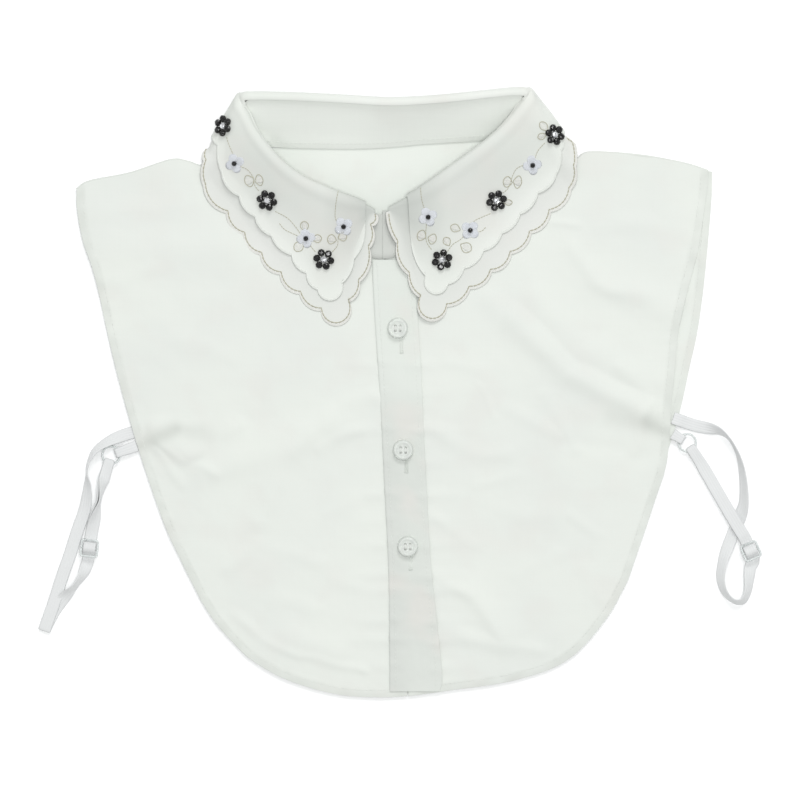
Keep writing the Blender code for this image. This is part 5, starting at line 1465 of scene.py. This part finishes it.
def stone_flowers(face):
    """Six black cut stones round a clear one, each in a small metal cup with four claws."""
    stone, stone_faces = cut_stone_shape(STONE_RADIUS * 1.05, STONE_HEIGHT * 0.82)
    for number, (x, y, height, turn) in enumerate(FLOWERS, start=1):
        spot, normal = face.below(x, y, height)
        facing = normal.to_track_quat("Z", "Y").to_matrix()
        seat = spot + normal * (seat_height(face, spot, facing, normal) + LEAF_SHELL / 2 + 0.1)
        facing = facing @ Matrix.Rotation(math.radians(turn), 3, "Z")
        points, faces, kinds = [], [], []

        def add(shape, shape_faces, kind):
            start = len(points)
            points.extend(tuple(facing @ Vector(point) + seat) for point in shape)
            faces.extend(tuple(start + index for index in one) for one in shape_faces)
            kinds.extend([kind] * len(shape_faces))

        places = [(0.0, 0.0)] + [(STONE_RING * math.cos(math.radians(60 * sixth)),
                                  STONE_RING * math.sin(math.radians(60 * sixth)))
                                 for sixth in range(6)]
        for index, (east, north) in enumerate(places):
            twist = math.radians(17 * index + 31 * number)
            lean = Matrix.Rotation(math.radians(7), 3, (math.cos(5.1 * index), math.sin(5.1 * index), 0))
            turned = np.array(lean @ Matrix.Rotation(twist, 3, "Z"))
            lift = 0.62 if index else 0.45
            cut = stone.copy()
            cut[8:, 2] += 0.09 * np.sin(np.arange(len(stone) - 8) * 2.3 + 1.9 * index + number)
            add(cut @ turned.T + np.array([east, north, lift]), stone_faces, 0 if index else 1)
            cup, cup_faces = cut_stone_shape(STONE_RADIUS * 0.98, 0.85, sides=12)
            add(cup + np.array([east, north, 0.0]), cup_faces, 2)
            for claw in range(4):
                angle = twist + math.radians(45 + 90 * claw)
                outer = np.array([east + STONE_RADIUS * 0.9 * math.cos(angle),
                                  north + STONE_RADIUS * 0.9 * math.sin(angle), 0.8])
                grain, grain_faces = cut_stone_shape(0.26, 0.7, sides=5)
                add(grain + outer, grain_faces, 2)
        made = mesh_object(f"stone_flower_{number}_stones", points, faces, [BLACK_STONE, CRYSTAL, CUP],
                           flat=True, face_materials=kinds)
        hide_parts(f"stone_flower_{number}")


# Elastics and their fittings
def strip_frames(route, steps=7):
    path = through(route, steps)
    frames = []
    for index, (x, y, height, roll) in enumerate(path):
        before, after = path[max(index - 1, 0)], path[min(index + 1, len(path) - 1)]
        heading = Vector((after[0] - before[0], after[1] - before[1], 0)).normalized()
        turn = math.radians(roll)
        across = Vector((-heading.y, heading.x, 0))
        side = across * math.cos(turn) + Vector((0, 0, math.sin(turn)))
        face = Vector((0, 0, math.cos(turn))) - across * math.sin(turn)
        place = Vector((x, y, height + STRAP_WIDTH / 2 * abs(math.sin(turn))))
        frames.append((place, side, face))
    return frames


def shifted(frames, distance):
    return [(place + face * distance, side, face) for place, side, face in frames]


def turn_back(place, toward, radius):
    """A tape's half turn, from the top of a fold to its underside."""
    across = Vector((-toward.y, toward.x, 0))
    frames = []
    for step in range(1, 12):
        angle = math.radians(90 - 15 * step)
        out = toward * math.cos(angle) + Vector((0, 0, math.sin(angle)))
        frames.append((place + out * radius, across, out))
    return frames


def ribbon(name, frames, widths, cords, ribs=0.0):
    """A woven tape through its frames: raised cords run along it, and ribs across it if asked."""
    shares = np.linspace(-0.5, 0.5, 4 * cords + 1)
    relief = 0.09 * np.cos(np.linspace(0, math.tau * cords, len(shares)))
    edge = np.sqrt(np.clip(1 - (np.abs(shares) / 0.5) ** 14, 0, 1))
    points = []
    previous = frames[0][1]
    travelled = 0.0
    for index, ((place, side, face), width) in enumerate(zip(frames, widths)):
        if side.dot(previous) < 0:
            side, face = -side, -face
        previous = side
        if index:
            travelled += (place - frames[index - 1][0]).length
        wave = ribs * math.cos(travelled * math.tau / 0.95)
        half = (STRAP_CLOTH / 2 - 0.12 + relief + wave) * edge
        place, side, face = np.array(place), np.array(side), np.array(face)
        upper = place + side * (shares * width)[:, None] + face * half[:, None]
        lower = place + side * (shares * width)[:, None] - face * half[:, None]
        points += [*upper, *lower[::-1][1:-1]]
    ring = 2 * len(shares) - 2
    faces = [tuple(range(ring))[::-1]]
    for row in range(len(frames) - 1):
        for edge_index in range(ring):
            following = (edge_index + 1) % ring
            faces.append((row * ring + edge_index, row * ring + following,
                          (row + 1) * ring + following, (row + 1) * ring + edge_index))
    last = (len(frames) - 1) * ring
    faces.append(tuple(range(last, last + ring)))
    return mesh_object(name, points, faces, ELASTIC)


def softened(frames):
    """Frames spaced evenly and eased, so that a tape bends without a kink."""
    places = np.array([tuple(place) for place, _, _ in frames])
    sides = [side for _, side, _ in frames]
    for index in range(1, len(sides)):
        if sides[index].dot(sides[index - 1]) < 0:
            sides[index] = -sides[index]
    sides = np.array([tuple(side) for side in sides])
    places[1:-1] = places[1:-1] * 0.5 + (places[:-2] + places[2:]) * 0.25
    sides[1:-1] = sides[1:-1] * 0.5 + (sides[:-2] + sides[2:]) * 0.25
    eased = []
    along = np.gradient(places, axis=0)
    for place, side, heading in zip(places, sides, along):
        side = Vector(side - heading * (side @ heading) / max(heading @ heading, 1e-9)).normalized()
        face = Vector(heading).normalized().cross(side)
        eased.append((Vector(place), side, face))
    return eased


def ring_turn(ring, outward):
    """A tape's way through a ring and back."""
    centre = Vector((ring[0], ring[1], 0.0))
    radius = RING_WIRE + GAP + STRAP_CLOTH / 2
    middle = STRAP_CLOTH / 2 + radius
    across = Vector((outward.y, -outward.x, 0))
    up = Vector((0, 0, 1))
    frames = [(centre + outward * (RING_RADIUS + 1.6) + up * (middle + radius), across, up),
              (centre + outward * (RING_RADIUS - 1.1) + up * (middle + radius), across, up)]
    frames += turn_back(centre + outward * (RING_RADIUS - 1.1) + up * middle, -outward, radius)
    frames += [(centre + outward * (RING_RADIUS - 1.1) + up * (middle - radius), across, -up),
               (centre + outward * (RING_RADIUS + 1.6) + up * (middle - radius), across, -up)]
    return frames


def slider_pass(slider, heading):
    """A tape's way over the bar of a slider."""
    across = Vector((-heading.y, heading.x, 0))
    frames = []
    for distance, height in ((-6.2, 0.45), (-4.6, 0.7), (-3.2, 2.2), (-2.0, 4.3), (-0.9, 5.1),
                             (0.9, 5.1), (2.0, 4.3), (3.2, 2.7), (4.6, 1.85), (6.2, 1.75)):
        frames.append((Vector((*slider, height)) + heading * distance, across, Vector((0, 0, 1))))
    return frames


def elastic(name, before, slider, double, ring):
    """A strap: its single run, over the slider, along to the ring and back under itself."""
    slider_heading = Vector((double[0][0] - slider[0], double[0][1] - slider[1], 0)).normalized()
    ring_heading = Vector((double[-1][0] - ring[0], double[-1][1] - ring[1], 0)).normalized()
    runs = strip_frames(double)
    over = shifted(runs, STRAP_STEP / 2)
    under = [(place, side, -face) for place, side, face in shifted(runs, -STRAP_STEP / 2)][::-1]
    passing = slider_pass(slider, slider_heading)
    turning = ring_turn(ring, ring_heading)
    across = Vector((-slider_heading.y, slider_heading.x, 0))
    end = [(Vector((*slider, 0.45)) + slider_heading * distance, across, Vector((0, 0, -1)))
           for distance in (6.0, 3.0, -0.6)]
    frames = before + passing + over + turning + under + end
    start = len(before) + len(passing) + len(over)
    widths = np.full(len(frames), STRAP_WIDTH)
    widths[start:start + len(turning)] = RING_PASS
    widths = np.convolve(np.pad(widths, 3, mode="edge"), np.ones(7) / 7, mode="valid")
    return ribbon(name, softened(frames), widths, 5)


def fold_end(route):
    last, previous = route[-1], route[-2]
    heading = Vector((last[0] - previous[0], last[1] - previous[1], 0)).normalized()
    middle = Vector((last[0], last[1], last[2] - STRAP_STEP / 2))
    return turn_back(middle, heading, STRAP_STEP / 2)


def straps():
    right_before = strip_frames(RIGHT_LONG) + fold_end(RIGHT_LONG) + strip_frames(RIGHT_RETURN)
    right = elastic("strap_right_tape", right_before, RIGHT_SLIDER, RIGHT_DOUBLE, RIGHT_RING)
    left = elastic("strap_left_tape", strip_frames(LEFT_LONG), LEFT_SLIDER, LEFT_DOUBLE, LEFT_RING)
    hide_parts("strap_right")
    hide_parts("strap_left")


def ring_tab(name, route, place):
    """The short tape that holds a ring at the side of the front."""
    start = Vector((*route[-1][:2], 0))
    outward = (start - Vector((*place, 0))).normalized()
    across = Vector((outward.y, -outward.x, 0))
    up = Vector((0, 0, 1))
    run = smooth(np.array(route, float), 8)
    frames = [(Vector(point), across, up) for point in run] + ring_turn(place, outward)
    widths = [TAB_WIDTH] * len(run) + [RING_PASS] * (len(frames) - len(run))
    made = ribbon(f"{name}_tape", frames, widths, 4, ribs=0.06)
    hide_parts(name)


def wire_ring(name, place):
    middle = STRAP_CLOTH + RING_WIRE + GAP
    turns = np.linspace(0, math.tau, 65)
    line = [(place[0] + RING_RADIUS * math.cos(turn), place[1] + RING_RADIUS * math.sin(turn), middle)
            for turn in turns]
    made = tubes(f"{name}_wire", [(line, RING_WIRE, UP)], NYLON, sides=12)
    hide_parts(name)


def slider_frame(name, place, toward):
    """A moulded slider: a rounded square frame with a bar across its middle."""
    heading = unit(np.array([toward[0] - place[0], toward[1] - place[1]]))
    across = np.array([-heading[1], heading[0]])
    outline = []
    for corner, (sign_x, sign_y) in enumerate(((1, 1), (-1, 1), (-1, -1), (1, -1))):
        for step in range(7):
            angle = math.radians(90 * corner + 15 * step)
            outline.append((sign_x * 3.2 + 1.4 * math.cos(angle), sign_y * 3.2 + 1.4 * math.sin(angle)))
    outline.append(outline[0])
    rim = [(*(np.array(place) + heading * x + across * y), SLIDER_MIDDLE) for x, y in outline]
    bar = [(*(np.array(place) + across * y), SLIDER_MIDDLE) for y in (-4.6, 0.0, 4.6)]
    made = tubes(f"{name}_frame", [(rim, 0.62, UP), (bar, 0.62, UP)], NYLON, sides=10)
    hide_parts(name)


def fittings():
    wire_ring("ring_right", RIGHT_RING)
    wire_ring("ring_left", LEFT_RING)
    ring_tab("ring_tab_right", RIGHT_TAB, RIGHT_RING)
    ring_tab("ring_tab_left", LEFT_TAB, LEFT_RING)
    slider_frame("slider_right", RIGHT_SLIDER, RIGHT_DOUBLE[0])
    slider_frame("slider_left", LEFT_SLIDER, LEFT_DOUBLE[0])


# Floor, light and camera
def floor():
    made, tree, shader = new_material("pale_floor", 0.9, specular=0.1)
    place = tree.nodes.new("ShaderNodeTexCoord").outputs["Object"]
    faint = noise_node(tree, place, 6.0, 2.0)
    tone = mixed_colour(tree, faint, tint(251, 252, 252), tint(249, 250, 250))
    tree.links.new(tone, shader.inputs["Base Color"])
    half = FLOOR_SIZE / 2
    corners = np.array([(-half, -half), (half, -half), (half, half), (-half, half)])
    corners = np.column_stack([corners, np.full(4, FLOOR_HEIGHT)]) * METRES
    mesh = bpy.data.meshes.new("floor")
    mesh.from_pydata(corners.tolist(), [], [(0, 1, 2, 3)])
    mesh.materials.append(made)
    thing = bpy.data.objects.new("floor", mesh)
    bpy.context.scene.collection.objects.link(thing)


def soft_light(name, place, size, power):
    """A round soft lamp that looks at the middle of the garment."""
    lamp = bpy.data.lights.new(name, "AREA")
    lamp.shape = "DISK"
    lamp.size = size
    lamp.energy = power
    thing = bpy.data.objects.new(name, lamp)
    thing.location = place
    thing.rotation_euler = (-Vector(place)).to_track_quat("-Z", "Y").to_euler()
    bpy.context.scene.collection.objects.link(thing)


def lights():
    world = bpy.data.worlds.new("studio")
    world.use_nodes = True
    background = world.node_tree.nodes["Background"]
    background.inputs["Color"].default_value = (1.0, 1.0, 1.0, 1.0)
    background.inputs["Strength"].default_value = SKY_STRENGTH
    bpy.context.scene.world = world
    soft_light("overhead", (0.16, 0.0, 2.8), 1.0, 38.3)
    soft_light("window", (0.4, 2.4, 2.4), 1.4, 38.0)
    bpy.context.scene.view_settings.view_transform = "Standard"
    bpy.context.scene.view_settings.look = "None"


def camera():
    lens = bpy.data.cameras.new("camera")
    lens.sensor_width = SENSOR_WIDTH
    lens.lens = SENSOR_WIDTH * CAMERA_HEIGHT / VIEW_WIDTH
    lens.clip_start, lens.clip_end = 0.05, 20.0
    thing = bpy.data.objects.new("camera", lens)
    thing.location = Vector((*VIEW_CENTRE, CAMERA_HEIGHT)) * METRES
    bpy.context.scene.collection.objects.link(thing)
    bpy.context.scene.camera = thing


back_panel()
fronts()
shoulder_seams()
placket()
buttons()
collar_stand()
leaf(upper=False)
outer_face = OuterFace(leaf(upper=True))
stems(outer_face)
loops(outer_face)
satin_flowers(outer_face)
beads(outer_face)
stone_flowers(outer_face)
straps()
fittings()
floor()
lights()
camera()
